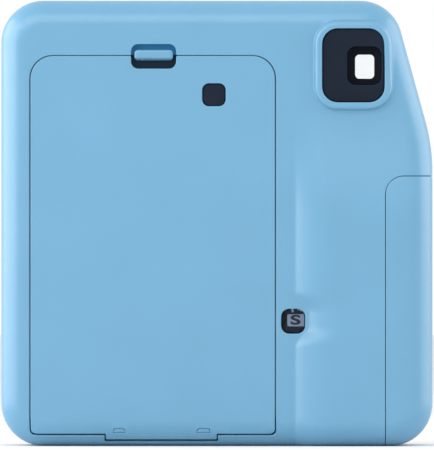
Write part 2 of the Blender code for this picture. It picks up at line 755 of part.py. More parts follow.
def build_shutter():
    """The shutter plate with its swinging blade and solenoid."""
    outline = rounded_box((LENS_X - 23.5, LENS_X + 23.5), (LENS_Z - 23.5, LENS_Z + 23.5), 5.0, 4)
    pivot = (LENS_X + 14.0, LENS_Z - 8.0)
    holes = [circle((LENS_X, LENS_Z), 4.5, 24), circle(pivot, 0.7, 10)]
    plate("shutter_plate", "Y", 9.4, 10.9, outline, BLACK, holes)
    blade = rounded(
        [
            (pivot[0] - 2.5, pivot[1] - 2.5, 2.4),
            (pivot[0] + 2.5, pivot[1] - 2.5, 2.4),
            (pivot[0] + 2.5, pivot[1] + 2.5, 2.4),
            (LENS_X + 4.0, LENS_Z + 6.5, 4.0),
            (LENS_X - 6.5, LENS_Z + 6.5, 4.0),
            (LENS_X - 6.5, LENS_Z - 5.0, 4.0),
        ],
        steps=4,
    )
    blade_part = plate("shutter_blade", "Y", 8.6, 9.0, blade, STEEL)
    join(blade_part, rod("blade_pin", "Y", pivot, 0.4, 8.8, 10.6, STEEL, 10))
    block("shutter_solenoid", (6.6, 14.4), (0.6, 8.0), (42.0, 58.0), BRASS, 0.6)


def build_flash():
    """The flash: window, reflector, tube and its capacitor, and the sensor window beside the lens."""
    plate("flash_window", "Y", 15.9, 17.3, rounded_box((8.0, 32.0), (100.0, 113.0), 2.0, 3), CLEAR)
    trough = rounded(
        [(8.4, 103.2, 0.6), (15.2, 100.6, 0.3), (15.2, 101.8, 0.3), (9.6, 104.2, 1.2), (9.6, 108.8, 1.2),
         (15.2, 111.2, 0.3), (15.2, 112.4, 0.3), (8.4, 109.8, 0.6)],
        steps=2,
    )
    plate("flash_reflector", "X", 9.0, 31.0, trough, STEEL)
    rod("flash_tube", "X", (12.3, 106.5), 1.4, 8.4, 31.6, CLEAR, 14)
    rod("flash_capacitor", "Z", (30.0, 9.6), 5.0, 14.0, 46.0, CELL, 24)
    plate("sensor_window", "Y", 15.9, 17.3, rounded_box((-46.0, -34.0), (101.5, 106.5), 2.4, 4), GLOSS_BLACK)


def build_controls():
    """The shutter button with its spring and switch, and the main board."""
    profile = [
        (0.0, 20.0), (4.6, 19.9), (5.9, 19.3), (BUTTON_RADIUS, 18.4), (BUTTON_RADIUS, 15.0), (7.6, 15.0),
        (7.6, 13.8), (0.0, 13.8),
    ]
    turned("shutter_button", "Y", (BUTTON_X, BUTTON_Z), profile, WHITE, 32, closed=False)
    spring("button_spring", (BUTTON_X, 9.2, BUTTON_Z), "Y", 4.2, 3.4, 0.5, 3, STEEL)
    block("button_switch", (38.0, 49.0), (4.2, 8.6), (75.0, 85.0), BLACK, 0.5)
    outline = rounded_box((20.6, 39.6), (6.0, 86.0), 1.0, 3)
    board = plate("main_board", "Y", 2.0, 3.6, outline, BOARD)
    join(board, block("board_chip", (24.0, 34.0), (3.0, 4.8), (54.0, 64.0), BOARD))


# ---- Film drive ----


def gear_outline(centre, teeth, phase):
    """Involute teeth, with one tooth's middle at the phase angle."""
    pitch = MODULE * teeth / 2
    pressure = math.radians(20)
    base = pitch * math.cos(pressure)
    tip = pitch + 0.8 * MODULE
    root = pitch - 1.05 * MODULE
    half_tooth = (math.pi * MODULE / 2 - 0.14) / (2 * pitch)

    def half_angle(radius):
        slope = math.acos(min(base / max(radius, base), 1.0))
        return half_tooth + (math.tan(pressure) - pressure) - (math.tan(slope) - slope)

    flank = [root, max(base, root + 0.02), pitch, tip]
    points = []
    for tooth in range(teeth):
        middle = phase + 2 * math.pi * tooth / teeth
        for side, radii in ((-1, flank), (1, flank[::-1])):
            for radius in radii:
                angle = middle + side * half_angle(radius)
                points.append(
                    Vector((centre[0] + radius * math.cos(angle), centre[1] + radius * math.sin(angle)))
                )
    return points


def meshed_phase(direction, teeth, phase, other_teeth):
    """The phase of a gear in mesh with one of the given phase that lies the other way along direction."""
    pitch_angle = 2 * math.pi / teeth
    slip = (direction - phase) % pitch_angle
    return direction + math.pi + math.pi / other_teeth + slip * teeth / other_teeth


def build_drive():
    """Rollers, their brackets, the gear train and the motor."""
    pinch_y = DRIVE_Y - MODULE * ROLLER_TEETH
    reach = MODULE * (ROLLER_TEETH + IDLER_TEETH) / 2
    idler = (DRIVE_Y + IDLER_OFFSET_Y, ROLLER_Z - math.sqrt(reach**2 - IDLER_OFFSET_Y**2))
    reach = MODULE * (PINION_TEETH + IDLER_TEETH) / 2
    pinion = (idler[0] + PINION_OFFSET_Y, idler[1] - math.sqrt(reach**2 - PINION_OFFSET_Y**2))

    to_drive = math.atan2(ROLLER_Z - idler[1], DRIVE_Y - idler[0])
    to_pinion = math.atan2(pinion[1] - idler[1], pinion[0] - idler[0])
    drive_phase = meshed_phase(to_drive, IDLER_TEETH, to_drive, ROLLER_TEETH)
    pinion_phase = meshed_phase(to_pinion, IDLER_TEETH, to_drive, PINION_TEETH)
    pinch_phase = meshed_phase(math.pi, ROLLER_TEETH, drive_phase, ROLLER_TEETH)

    idler_teeth = gear_outline(idler, IDLER_TEETH, to_drive)
    plate("idler_gear", "X", *GEAR_X, idler_teeth, WHITE, [circle(idler, AXLE_RADIUS + GAP, 14)])
    rod("idler_axle", "X", idler, AXLE_RADIUS, 16.6, 21.6, STEEL, 14)
    small = plate("motor_pinion", "X", *GEAR_X, gear_outline(pinion, PINION_TEETH, pinion_phase), BRASS)
    join(small, rod("pinion_shaft", "X", pinion, 0.8, 19.0, 20.6, BRASS, 12))
    motor = rod("eject_motor", "X", pinion, 6.0, 21.0, 40.0, STEEL, 28)
    join(motor, rod("motor_boss", "X", pinion, 2.5, 39.0, 41.5, STEEL, 20))

    for name, y, phase in (("drive_roller", DRIVE_Y, drive_phase), ("pinch_roller", pinch_y, pinch_phase)):
        roller = rod(name, "X", (y, ROLLER_Z), ROLLER_RADIUS, -48.9, 13.3, STEEL, 24)
        teeth = gear_outline((y, ROLLER_Z), ROLLER_TEETH, phase)
        join(
            roller,
            rod(name + "_axle", "X", (y, ROLLER_Z), AXLE_RADIUS, -52.5, 20.2, STEEL, 14),
            plate(name + "_gear", "X", *GEAR_X, teeth, STEEL),
        )
    bracket = rounded_box((-19.4, 0.6), (108.8, 120.0), 2.0, 3)
    holes = [circle((y, ROLLER_Z), AXLE_RADIUS + 0.3, 14) for y in (DRIVE_Y, pinch_y)]
    plate("roller_bracket_left", "X", *BRACKET_LEFT_X, bracket, STEEL, holes)
    plate("roller_bracket_right", "X", *BRACKET_RIGHT_X, bracket, STEEL, holes)
    return idler, pinion, pinch_y


def build_screws():
    """Case screws in the base, clear of the walls."""
    shell = bpy.data.objects["front_shell"]
    for number, x in enumerate((-40.0, 4.0, 32.0)):
        profile = [(0.0, 10.0), (0.9, 9.6), (0.9, 2.0), (1.9, 1.6), (1.9, 0.6), (0.0, 0.6)]
        turned(f"case_screw_{number + 1}", "Z", (x, 6.0), profile, STEEL, 14, closed=False)
        cut(shell, rod(f"screw_hole_{number}", "Z", (x, 6.0), 2.2, -2.0, 5.0, BLUE, 16))


def pivot(name, x, y, z, nodes):
    """An empty on a joint's axis that carries the nodes that move with it."""
    axis = bpy.data.objects.new(name, None)
    PARTS.objects.link(axis)
    axis.location = (x * MM, y * MM, z * MM)
    bpy.context.view_layer.update()
    for node in nodes:
        part = bpy.data.objects[node]
        part.parent = axis
        part.matrix_parent_inverse = axis.matrix_world.inverted()
    return axis


def main():
    """Builds every part and hangs the moving ones on their axes."""
    build_rear_shell()
    build_front_shell()
    build_film_door()
    build_door_fittings()
    build_battery_bay()
    build_finder()
    build_counter()
    build_film_chamber()
    build_lens()
    build_shutter()
    build_flash()
    build_controls()
    build_screws()
    idler, pinion, pinch_y = build_drive()

    carried = ["film_door", "film_window", "door_liner", "pressure_spring_left", "pressure_spring_right"]
    door_axis = pivot("film_door_axis", 0, HINGE_Y, HINGE_Z, [*carried, "latch_spring"])
    latch_axis = pivot("door_latch_axis", -18, -24.5, 110, ["door_latch"])
    latch_axis.parent = door_axis
    latch_axis.matrix_parent_inverse = door_axis.matrix_world.inverted()
    pivot("battery_cover_axis", 55, -10, 40, ["battery_cover"])
    pivot("lens_ring_axis", LENS_X, 18, LENS_Z, ["lens_ring"])
    barrel = ["lens_barrel", "lens_face", "lens_front_element", "selfie_mirror"]
    pivot("lens_barrel_axis", LENS_X, 20, LENS_Z, barrel)
    pivot("shutter_blade_axis", LENS_X + 14, 9, LENS_Z - 8, ["shutter_blade"])
    pivot("shutter_button_axis", BUTTON_X, 17, BUTTON_Z, ["shutter_button"])
    pivot("counter_dial_axis", DIAL_X, -22.6, DIAL_Z, ["counter_dial"])
    pivot("film_claw_axis", 11.2, -6, 17, ["film_claw"])
    pivot("drive_roller_axis", 0, DRIVE_Y, ROLLER_Z, ["drive_roller"])
    pivot("pinch_roller_axis", 0, pinch_y, ROLLER_Z, ["pinch_roller"])
    pivot("idler_axis", 18, *idler, ["idler_gear"])
    pivot("pinion_axis", 18, *pinion, ["motor_pinion"])


main()
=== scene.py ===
import math

import bmesh
import bpy
import numpy as np
from mathutils import Matrix, Vector
from mathutils.geometry import delaunay_2d_cdt


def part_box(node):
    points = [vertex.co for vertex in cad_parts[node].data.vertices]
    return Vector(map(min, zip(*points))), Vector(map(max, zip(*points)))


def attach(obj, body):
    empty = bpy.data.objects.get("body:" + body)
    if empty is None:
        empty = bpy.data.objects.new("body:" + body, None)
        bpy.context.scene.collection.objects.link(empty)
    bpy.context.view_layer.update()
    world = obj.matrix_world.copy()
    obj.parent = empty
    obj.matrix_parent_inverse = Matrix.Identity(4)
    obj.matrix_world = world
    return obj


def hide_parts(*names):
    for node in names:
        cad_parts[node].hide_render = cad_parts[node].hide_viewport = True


# Instant camera: smooth plastic shells, door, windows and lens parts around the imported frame.
# +X is the photographer's right, +Y the way the lens looks, +Z up. Helpers take millimetres.

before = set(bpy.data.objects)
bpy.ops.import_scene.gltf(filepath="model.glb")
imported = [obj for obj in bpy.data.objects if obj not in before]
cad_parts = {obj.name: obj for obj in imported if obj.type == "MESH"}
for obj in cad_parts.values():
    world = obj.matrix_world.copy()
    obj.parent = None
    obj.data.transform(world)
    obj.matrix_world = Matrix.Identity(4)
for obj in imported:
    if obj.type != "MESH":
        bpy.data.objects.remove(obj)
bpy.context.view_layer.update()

MM = 0.001
TINY = 1e-6
NEAR = 1e-3

# How finely outlines are cut: steps in a rounded edge, in the case's broad corners, and the longest span.
EDGE_STEPS = 3
CORNER_STEPS = 14
SPAN = 2.0


def ranges(node):
    """A CAD node's x, y and z ranges in millimetres."""
    low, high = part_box(node)
    return [(a / MM, b / MM) for a, b in zip(low, high)]


CASE_X, _, CASE_Z = ranges("rear_shell")
HALF = CASE_X[1]
HEIGHT = CASE_Z[1]
REAR_PLANE = ranges("film_door")[1][0]
FRONT_PLANE = ranges("front_shell")[1][1]
WALL = 2.0
SEAM = -4.0
GAP = 0.3
COVER_GAP = 0.16
REAR_ROUNDING = 7.0
FRONT_ROUNDING = 8.0
CASE_CORNER = 12.0
SHOULDER_X, SHOULDER_Z, SHOULDER_CORNER = 49.7, 85.0, 52.0
CASE_CORNERS = (
    (-HALF, 0.0, CASE_CORNER),
    (HALF, 0.0, CASE_CORNER),
    (HALF, SHOULDER_Z, SHOULDER_CORNER),
    (SHOULDER_X, HEIGHT, CASE_CORNER),
    (-HALF, HEIGHT, CASE_CORNER),
)

# The grip swells out from GRIP_X over GRIP_STEP, and fades in downwards from GRIP_TOP to GRIP_FULL.
# The notch moves that step aside round the counter window.
GRIP_HEIGHT = 3.0
GRIP_X = 22.1
GRIP_STEP = 10.4
GRIP_TOP = 97.0
GRIP_FULL = 64.0
NOTCH = (28.0, 43.8)
NOTCH_EASE = 6.0
NOTCH_SHIFT = 3.9

DOOR_X = ranges("film_door")[0]
DOOR_TOP = ranges("film_door")[2][1]
DOOR_BOTTOM = 3.4
DOOR_INSET = 0.15
DOOR_CORNER = 6.4
DOOR_SIDE_GAP, DOOR_TOP_GAP, DOOR_LOW_GAP = 0.3, 0.17, 0.47
TAB_GAP_SHARE = 1.6
TAB_X = (-31.4, 0.0)
TAB_BOTTOM = 1.8
FINGERS = ((-29.2, -26.0), (-5.5, -1.9))
FINGER_Z = (3.75, 4.85)
FINGER_GAP = 0.05
RECESS_X = (-24.2, -11.5)
RECESS_Z = (106.7, 113.6)
RELIEF_LOW, RELIEF_WALL = -3.9, 0.6
EXIT_X, EXIT_Y = (-48.5, 12.5), (-11.5, -7.7)

EYEPIECE_X, _, EYEPIECE_Z = ranges("eyepiece_panel")
EYEPIECE_CORNER = 4.3
EYEPIECE_GAP = 0.15
RIM_WIDTH = 2.3
RIM_RISE = 1.8
COUNTER_X = (18.2, 25.0)
COUNTER_Z = (31.8, 38.8)
BATTERY_X = 47.6
BATTERY_TOP = 76.4

# Levels of flat faces across Y: windows in the rear wall, and what lies just inside that wall.
WINDOW_LEVEL = -25.5
INNER_LEVEL = -23.95

RING_X, RING_Y, RING_Z = ranges("lens_ring")
LENS = ((RING_X[0] + RING_X[1]) / 2, (RING_Z[0] + RING_Z[1]) / 2)


# ---- Materials ----


# Sizes within the finishes, in millimetres.
DRIFT_SIZE, WEAR_SIZE, WEAR_RADIUS, BUMP_DEPTH = 24.0, 3.0, 0.35, 0.04
HAZE_SIZE, TINT_SIZE = 5.0, 9.0
# Patches of varied roughness are this many times the size of the grain.
PATCH = 12


def shader(name, colour, roughness, metallic=0.0, **values):
    """A material with its Principled shader, whose constants sit on its own sockets."""
    made = bpy.data.materials.new(name)
    made.use_nodes = True
    principled = made.node_tree.nodes["Principled BSDF"]
    principled.inputs["Base Color"].default_value = (*colour, 1.0)
    principled.inputs["Roughness"].default_value = roughness
    principled.inputs["Metallic"].default_value = metallic
    for socket, value in values.items():
        principled.inputs[socket.replace("_", " ")].default_value = value
    return made, principled


def noise(tree, place, size, detail=3.0, stretch=(1, 1, 1)):
    """Noise with features of about the given size in millimetres."""
    mapping = tree.nodes.new("ShaderNodeMapping")
    mapping.inputs["Scale"].default_value = stretch
    tree.links.new(place, mapping.inputs["Vector"])
    texture = tree.nodes.new("ShaderNodeTexNoise")
    texture.inputs["Scale"].default_value = 1.0 / (size * MM)
    texture.inputs["Detail"].default_value = detail
    tree.links.new(mapping.outputs["Vector"], texture.inputs["Vector"])
    return texture.outputs["Fac"]


def ramp(tree, factor, stops):
    """A colour ramp: stops are (position, colour) pairs."""
    node = tree.nodes.new("ShaderNodeValToRGB")
    elements = node.color_ramp.elements
    while len(elements) < len(stops):
        elements.new(0.5)
    for element, (position, colour) in zip(elements, stops):
        element.position = position
        element.color = (*colour, 1.0)
    tree.links.new(factor, node.inputs["Fac"])
    return node.outputs["Color"]


def mapped(tree, factor, low, high):
    """The factor's middle range moved to low and high."""
    node = tree.nodes.new("ShaderNodeMapRange")
    for socket, value in (("From Min", 0.3), ("From Max", 0.7), ("To Min", low), ("To Max", high)):
        node.inputs[socket].default_value = value
    tree.links.new(factor, node.inputs["Value"])
    return node.outputs["Result"]


def blended(tree, factor, first, second):
    """A colour mix of two sockets."""
    node = tree.nodes.new("ShaderNodeMix")
    node.data_type = "RGBA"
    tree.links.new(factor, node.inputs["Factor"])
    tree.links.new(first, node.inputs["A"])
    tree.links.new(second, node.inputs["B"])
    return node.outputs["Result"]


def edge_mask(tree, radius):
    """One along sharp edges and nought on flat faces."""
    bevel = tree.nodes.new("ShaderNodeBevel")
    bevel.samples = 4
    bevel.inputs["Radius"].default_value = radius * MM
    geometry = tree.nodes.new("ShaderNodeNewGeometry")
    dot = tree.nodes.new("ShaderNodeVectorMath")
    dot.operation = "DOT_PRODUCT"
    tree.links.new(bevel.outputs["Normal"], dot.inputs[0])
    tree.links.new(geometry.outputs["Normal"], dot.inputs[1])
    node = tree.nodes.new("ShaderNodeMapRange")
    for socket, value in (("From Min", 0.99), ("From Max", 0.85), ("To Min", 0.0), ("To Max", 1.0)):
        node.inputs[socket].default_value = value
    tree.links.new(dot.outputs["Value"], node.inputs["Value"])
    return node.outputs["Result"]


def finished(name, colour, roughness, grain, bump, drift, spread, wear=None, brushed=None, **values):
    """A material with drifting colour, varied roughness and fine grain.

    wear is the colour of worn edges, and brushed stretches the grain along an axis."""
    made, principled = shader(name, colour, roughness, **values)
    tree = made.node_tree
    place = tree.nodes.new("ShaderNodeTexCoord").outputs["Object"]
    stretch = brushed or (1, 1, 1)
    broad = noise(tree, place, DRIFT_SIZE, 2.0)
    dark = tuple(c * (1 - drift) for c in colour)
    light = tuple(min(c * (1 + drift), 1.0) for c in colour)
    tint = ramp(tree, broad, ((0.3, dark), (0.7, light)))
    if wear:
        edges = edge_mask(tree, WEAR_RADIUS)
        worn = ramp(tree, noise(tree, place, WEAR_SIZE), ((0.4, tuple(c * 0.98 for c in wear)), (0.6, wear)))
        tint = blended(tree, edges, tint, worn)
    tree.links.new(tint, principled.inputs["Base Color"])
    fine = noise(tree, place, grain, 3.0, stretch)
    patchy = noise(tree, place, grain * PATCH, 3.0, stretch)
    varied = mapped(tree, patchy, roughness - spread, roughness + spread)
    tree.links.new(varied, principled.inputs["Roughness"])
    surface = tree.nodes.new("ShaderNodeBump")
    surface.inputs["Strength"].default_value = bump
    surface.inputs["Distance"].default_value = BUMP_DEPTH * MM
    tree.links.new(fine, surface.inputs["Height"])
    tree.links.new(surface.outputs["Normal"], principled.inputs["Normal"])
    return made


def glass(name, colour, roughness, ior=1.49, **values):
    """Clear moulded plastic or glass with a faint haze that varies."""
    made, principled = shader(name, colour, roughness, Transmission_Weight=1.0, IOR=ior, **values)
    tree = made.node_tree
    place = tree.nodes.new("ShaderNodeTexCoord").outputs["Object"]
    haze = noise(tree, place, HAZE_SIZE)
    tree.links.new(mapped(tree, haze, roughness * 0.6, roughness * 1.4), principled.inputs["Roughness"])
    tint = ramp(tree, noise(tree, place, TINT_SIZE), ((0.3, tuple(c * 0.97 for c in colour)), (0.7, colour)))
    tree.links.new(tint, principled.inputs["Base Color"])
    return made


BLUE = (0.107, 0.304, 0.474)
LOOKS = {
    name: make(name + "_look", **values)
    for name, make, values in (
        ("case_plastic", finished, dict(
            colour=BLUE, roughness=0.32, grain=0.35, bump=0.16, drift=0.02, spread=0.035,
            wear=(0.15, 0.37, 0.56), Specular_IOR_Level=0.8,
        )),
        ("latch_plastic", finished, dict(
            colour=(0.120, 0.310, 0.475), roughness=0.26, grain=0.4, bump=0.1, drift=0.02, spread=0.03,
            wear=(0.16, 0.38, 0.56),
        )),
        # painted shade: a darker copy of the case blue, for the shaded floor of the recess above the latch
        # bar
        ("deep_plastic", finished, dict(
            colour=(0.035, 0.21, 0.42), roughness=0.4, grain=0.35, bump=0.16, drift=0.03, spread=0.04,
            Specular_IOR_Level=0.1,
        )),
        ("black_plastic", finished, dict(
            colour=(0.013, 0.014, 0.018), roughness=0.5, grain=0.3, bump=0.5, drift=0.2, spread=0.08,
            wear=(0.03, 0.03, 0.034),
        )),
        ("gloss_black", finished, dict(
            colour=(0.010, 0.016, 0.028), roughness=0.14, grain=1.2, bump=0.04, drift=0.15,
            spread=0.04, wear=(0.02, 0.026, 0.04), Specular_IOR_Level=0.08,
        )),
        ("grey_plastic", finished, dict(
            colour=(0.28, 0.30, 0.33), roughness=0.42, grain=0.3, bump=0.3, drift=0.06, spread=0.06,
            wear=(0.38, 0.40, 0.43),
        )),
        ("white_plastic", finished, dict(
            colour=(0.74, 0.76, 0.78), roughness=0.34, grain=0.4, bump=0.12, drift=0.03, spread=0.05,
            wear=(0.82, 0.83, 0.84),
        )),
        ("clear_plastic", glass, dict(colour=(0.96, 0.98, 0.99), roughness=0.03)),
        ("steel", finished, dict(
            colour=(0.56, 0.57, 0.59), roughness=0.3, grain=0.15, bump=0.4, drift=0.06, spread=0.1,
            wear=(0.7, 0.7, 0.71), brushed=(1, 1, 14), metallic=1.0,
        )),
        ("bright_metal", finished, dict(
            colour=(0.86, 0.87, 0.88), roughness=0.06, grain=1.5, bump=0.03, drift=0.02, spread=0.03,
            metallic=1.0,
        )),
        ("brass", finished, dict(
            colour=(0.66, 0.48, 0.20), roughness=0.28, grain=0.3, bump=0.3, drift=0.1, spread=0.08,
            wear=(0.8, 0.62, 0.3), metallic=1.0,
        )),
        ("foam", finished, dict(
            colour=(0.02, 0.02, 0.022), roughness=0.95, grain=0.5, bump=1.0, drift=0.3, spread=0.04,
        )),
        ("circuit_board", finished, dict(
            colour=(0.02, 0.17, 0.08), roughness=0.34, grain=0.8, bump=0.25, drift=0.2, spread=0.08,
            wear=(0.25, 0.24, 0.12),
        )),
        ("cell_sleeve", finished, dict(
            colour=(0.03, 0.05, 0.16), roughness=0.24, grain=2.0, bump=0.1, drift=0.2, spread=0.06,
            wear=(0.07, 0.09, 0.2),
        )),
        ("dial_plastic", finished, dict(
            colour=(0.012, 0.024, 0.045), roughness=0.5, grain=0.3, bump=0.3, drift=0.2, spread=0.05,
            Specular_IOR_Level=0.1,
        )),
        ("print_ink", finished, dict(
            colour=(0.68, 0.69, 0.74), roughness=0.6, grain=0.2, bump=0.2, drift=0.08, spread=0.05,
        )),
        ("tinted_clear", glass, dict(colour=(0.66, 0.74, 0.86), roughness=0.05, ior=1.22)),
        ("well_plastic", finished, dict(
            colour=(0.004, 0.005, 0.010), roughness=0.6, grain=0.3, bump=0.3, drift=0.2, spread=0.06,
            Specular_IOR_Level=0.05,
        )),
        ("dark_ink", finished, dict(
            colour=(0.008, 0.011, 0.02), roughness=0.6, grain=0.2, bump=0.2, drift=0.1, spread=0.05,
        )),
        ("tinted_plastic", finished, dict(
            colour=(0.012, 0.017, 0.030), roughness=0.1, grain=2.0, bump=0.03, drift=0.3, spread=0.04,
            Specular_IOR_Level=0.06,
        )),
    )
}


# ---- Outlines ----


SMALLEST_RADIUS = 0.06


def bends(corners):
    """Each corner as a point, its radius and the directions of the two edges that meet there."""
    for index, (u, v, radius) in enumerate(corners):
        corner = Vector((u, v))
        arriving = (corner - Vector(corners[index - 1][:2])).normalized()
        leaving = (Vector(corners[(index + 1) % len(corners)][:2]) - corner).normalized()
        yield corner, radius, arriving, leaving


def leftward(direction):
    """The direction turned a quarter to the left, which is inwards on a counter-clockwise outline."""
    return Vector((-direction.y, direction.x))


def moved_corner(corner, arriving, leaving, inset):
    """A corner after both its edges have moved inwards by inset."""
    normal, normal_after = leftward(arriving), leftward(leaving)
    return corner + (normal + normal_after) * inset / (1 + normal.dot(normal_after))


def rounded(corners, inset=0.0, steps=8):
    """An outline through counter-clockwise corners (u, v, radius), moved inwards by inset."""
    points = []
    for corner, radius, arriving, leaving in bends(corners):
        turn = math.atan2(arriving.cross(leaving), arriving.dot(leaving))
        side = 1.0 if turn > 0 else -1.0
        moved = moved_corner(corner, arriving, leaving, inset)
        radius = max(radius - inset * side, SMALLEST_RADIUS)
        start = moved - arriving * radius * math.tan(abs(turn) / 2)
        centre = start + leftward(arriving) * radius * side
        for step in range(steps + 1):
            points.append(centre + Matrix.Rotation(turn * step / steps, 2) @ (start - centre))
    return points


def grown(span, by):
    """A range made wider by the same amount at both ends."""
    return (span[0] - by, span[1] + by)


def box_corners(u, v, radius):
    """The corners of a rounded rectangle from its ranges."""
    return [(u[0], v[0], radius), (u[1], v[0], radius), (u[1], v[1], radius), (u[0], v[1], radius)]


def moved_corners(corners, inset):
    """Convex corners moved inwards by inset, or outwards where it is negative."""
    return [
        (*moved_corner(corner, arriving, leaving, inset), radius - inset)
        for corner, radius, arriving, leaving in bends(corners)
    ]


def loop(corners, hole=False, steps=8, span=SPAN):
    """A function that gives the outline moved into the material by an inset, always with as many points."""
    base = rounded(corners, 0.0, steps)
    counts = [max(1, math.ceil((b - a).length / span)) for a, b in zip(base, base[1:] + base[:1])]

    def outline(inset):
        points = rounded(corners, -inset if hole else inset, steps)
        ends = points[1:] + points[:1]
        return [a.lerp(b, k / n) for a, b, n in zip(points, ends, counts) for k in range(n)]

    return outline


def box_loop(u, v, radius, by=0.0, **options):
    """The loop of a rounded rectangle, made wider by the same amount on every side."""
    return loop(box_corners(grown(u, by), grown(v, by), radius), **options)


def ring_loop(centre, radius, hole=False, sides=96):
    """The same for a circle."""

    def outline(inset):
        size = radius + inset if hole else radius - inset
        turns = [2 * math.pi / sides * k for k in range(sides)]
        return [Vector((centre[0] + size * math.cos(t), centre[1] + size * math.sin(t))) for t in turns]

    return outline


def inside(points, polygon):
    """Which of the points lie in a polygon."""
    points = np.asarray(points, float).reshape(-1, 2)
    start = np.array([tuple(p) for p in polygon])
    end = np.roll(start, -1, axis=0)
    x, y = points[:, :1], points[:, 1:]
    crosses = (start[:, 1] > y) != (end[:, 1] > y)
    rise = np.where(np.abs(end[:, 1] - start[:, 1]) < TINY, TINY, end[:, 1] - start[:, 1])
    at = start[:, 0] + (y - start[:, 1]) * (end[:, 0] - start[:, 0]) / rise
    return (crosses & (x < at)).sum(axis=1) % 2 == 1


# ---- Building ----


# Edges that bend by more than this many degrees stay hard.
SHARP = 40.0


def piece(name, mesh, look, body, nodes=()):
    """A finished piece in a named look: smooth with its hard edges kept, and standing for CAD nodes."""
    made = bpy.data.objects.new(name, mesh)
    bpy.context.scene.collection.objects.link(made)
    mesh.materials.append(LOOKS[look])
    mesh.shade_smooth()
    mesh.set_sharp_from_angle(angle=math.radians(SHARP))
    weights = made.modifiers.new("weights", "WEIGHTED_NORMAL")
    weights.keep_sharp = True
    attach(made, body)
    if nodes:
        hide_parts(*nodes)


def solid(name, points, faces):
    """A mesh in metres from points in millimetres, with its normals outwards."""
    mesh = bpy.data.meshes.new(name)
    mesh.from_pydata([tuple(float(c) * MM for c in p) for p in points], [], faces)
    work = bmesh.new()
    work.from_mesh(mesh)
    bmesh.ops.remove_doubles(work, verts=work.verts, dist=TINY)
    bmesh.ops.dissolve_degenerate(work, edges=work.edges, dist=TINY)
    bmesh.ops.recalc_face_normals(work, faces=work.faces)
    work.to_mesh(mesh)
    work.free()
    return mesh


def panel(name, loops, place, thickness, edge=0.2, back_edge=0.0, spots=(), lines=(), spare=0.3):
    """A closed sheet. The first loop is its outline and the others are holes.

    place(points, depth) puts points of the flat plane at a depth below the outer surface. edge and back_edge
    are the roundings of the outer and inner edges. spots and lines are more points for the surface to pass
    through, and no spot lies closer to an edge than spare."""
    flat, deep, back, faces = [], [], [], []
    borders = []
    for outline in loops:
        rings = []
        for step in range(EDGE_STEPS + 1):
            angle = math.pi / 2 * step / EDGE_STEPS
            ring = outline(edge * (1 - math.cos(angle)))
            rings.append(range(len(flat), len(flat) + len(ring)))
            flat.extend(tuple(p) for p in ring)
            deep.extend([edge * (1 - math.sin(angle))] * len(ring))
            back.extend([thickness - back_edge * (1 - math.sin(angle))] * len(ring))
        for low, high in zip(rings, rings[1:]):
            for k in range(len(low)):
                after = (k + 1) % len(low)
                faces.append((low[k], low[after], high[after], high[k]))
        borders.append(rings)
    known = [k for rings in borders for k in rings[-1]]
    seeds = [flat[k] for k in known]
    wires, count = [], 0
    for rings in borders:
        size = len(rings[-1])
        wires.extend((count + k, count + (k + 1) % size) for k in range(size))
        count += size
    for line in lines:
        wires.extend((count + k, count + (k + 1) % len(line)) for k in range(len(line)))
        seeds.extend(tuple(p) for p in line)
        count += len(line)
    if len(spots):
        spots = np.asarray(spots, float)
        keep = inside(spots, loops[0](edge + spare))
        for outline in loops[1:]:
            keep &= ~inside(spots, outline(edge + spare))
        seeds.extend(map(tuple, spots[keep]))
    found = delaunay_2d_cdt([Vector(s) for s in seeds], wires, [], 0, TINY)
    index = []
    for point, origins in zip(found[0], found[3]):
        border = next((known[o] for o in origins if o < len(known)), None)
        if border is None:
            border = len(flat)
            flat.append(tuple(point))
            deep.append(0.0)
            back.append(thickness)
        index.append(border)
    corners = np.array([[tuple(found[0][k]) for k in face] for face in found[2]])
    middles = corners.mean(axis=1)
    keep = inside(middles, loops[0](edge))
    for outline in loops[1:]:
        keep &= ~inside(middles, outline(edge))
    faces.extend(tuple(index[k] for k in face) for face, kept in zip(found[2], keep) if kept)
    total = len(flat)
    faces.extend([tuple(k + total for k in face[::-1]) for face in faces])
    for rings in borders:
        rim = rings[0]
        for k in range(len(rim)):
            after = (k + 1) % len(rim)
            faces.append((rim[after], rim[k], rim[k] + total, rim[after] + total))
    flat = np.array(flat)
    points = np.vstack((place(flat, np.array(deep)), place(flat, np.array(back))))
    return solid(name, points, faces)


def lathe(name, centre, profile, sides=96, knurl=None):
    """A solid turned about an axis along Y, from (radius, y) points; open ends lie on the axis.

    knurl(radius, y, angle) gives the radius of a ribbed surface."""
    points, faces = [], []
    count = len(profile)
    closed = min(p[0] for p in profile) > TINY
    for side in range(sides):
        angle = 2 * math.pi * side / sides
        for radius, y in profile:
            if knurl:
                radius = knurl(radius, y, angle)
            points.append((centre[0] + radius * math.cos(angle), y, centre[1] + radius * math.sin(angle)))
    for side in range(sides):
        after = (side + 1) % sides
        for k in range(count if closed else count - 1):
            up = (k + 1) % count
            faces.append((side * count + k, side * count + up, after * count + up, after * count + k))
    return solid(name, points, faces)


# Sheets with a shaped face are thicker than this, so points deeper down belong to the back.
BACK_DEPTH = 0.99


def flat_place(level, outward=-1.0, shape=None):
    """Puts points on a flat face across Y; shape gives each a rise above it, but not on the sheet's back."""

    def place(points, depth):
        rise = 0.0 if shape is None else shape(points) * np.where(depth > BACK_DEPTH, 0.0, 1.0)
        return np.column_stack((points[:, 0], level + outward * (rise - depth), points[:, 1]))

    return place


def ease(value):
    """A smooth step from 0 to 1."""
    value = np.clip(value, 0.0, 1.0)
    return value * value * (3 - 2 * value)


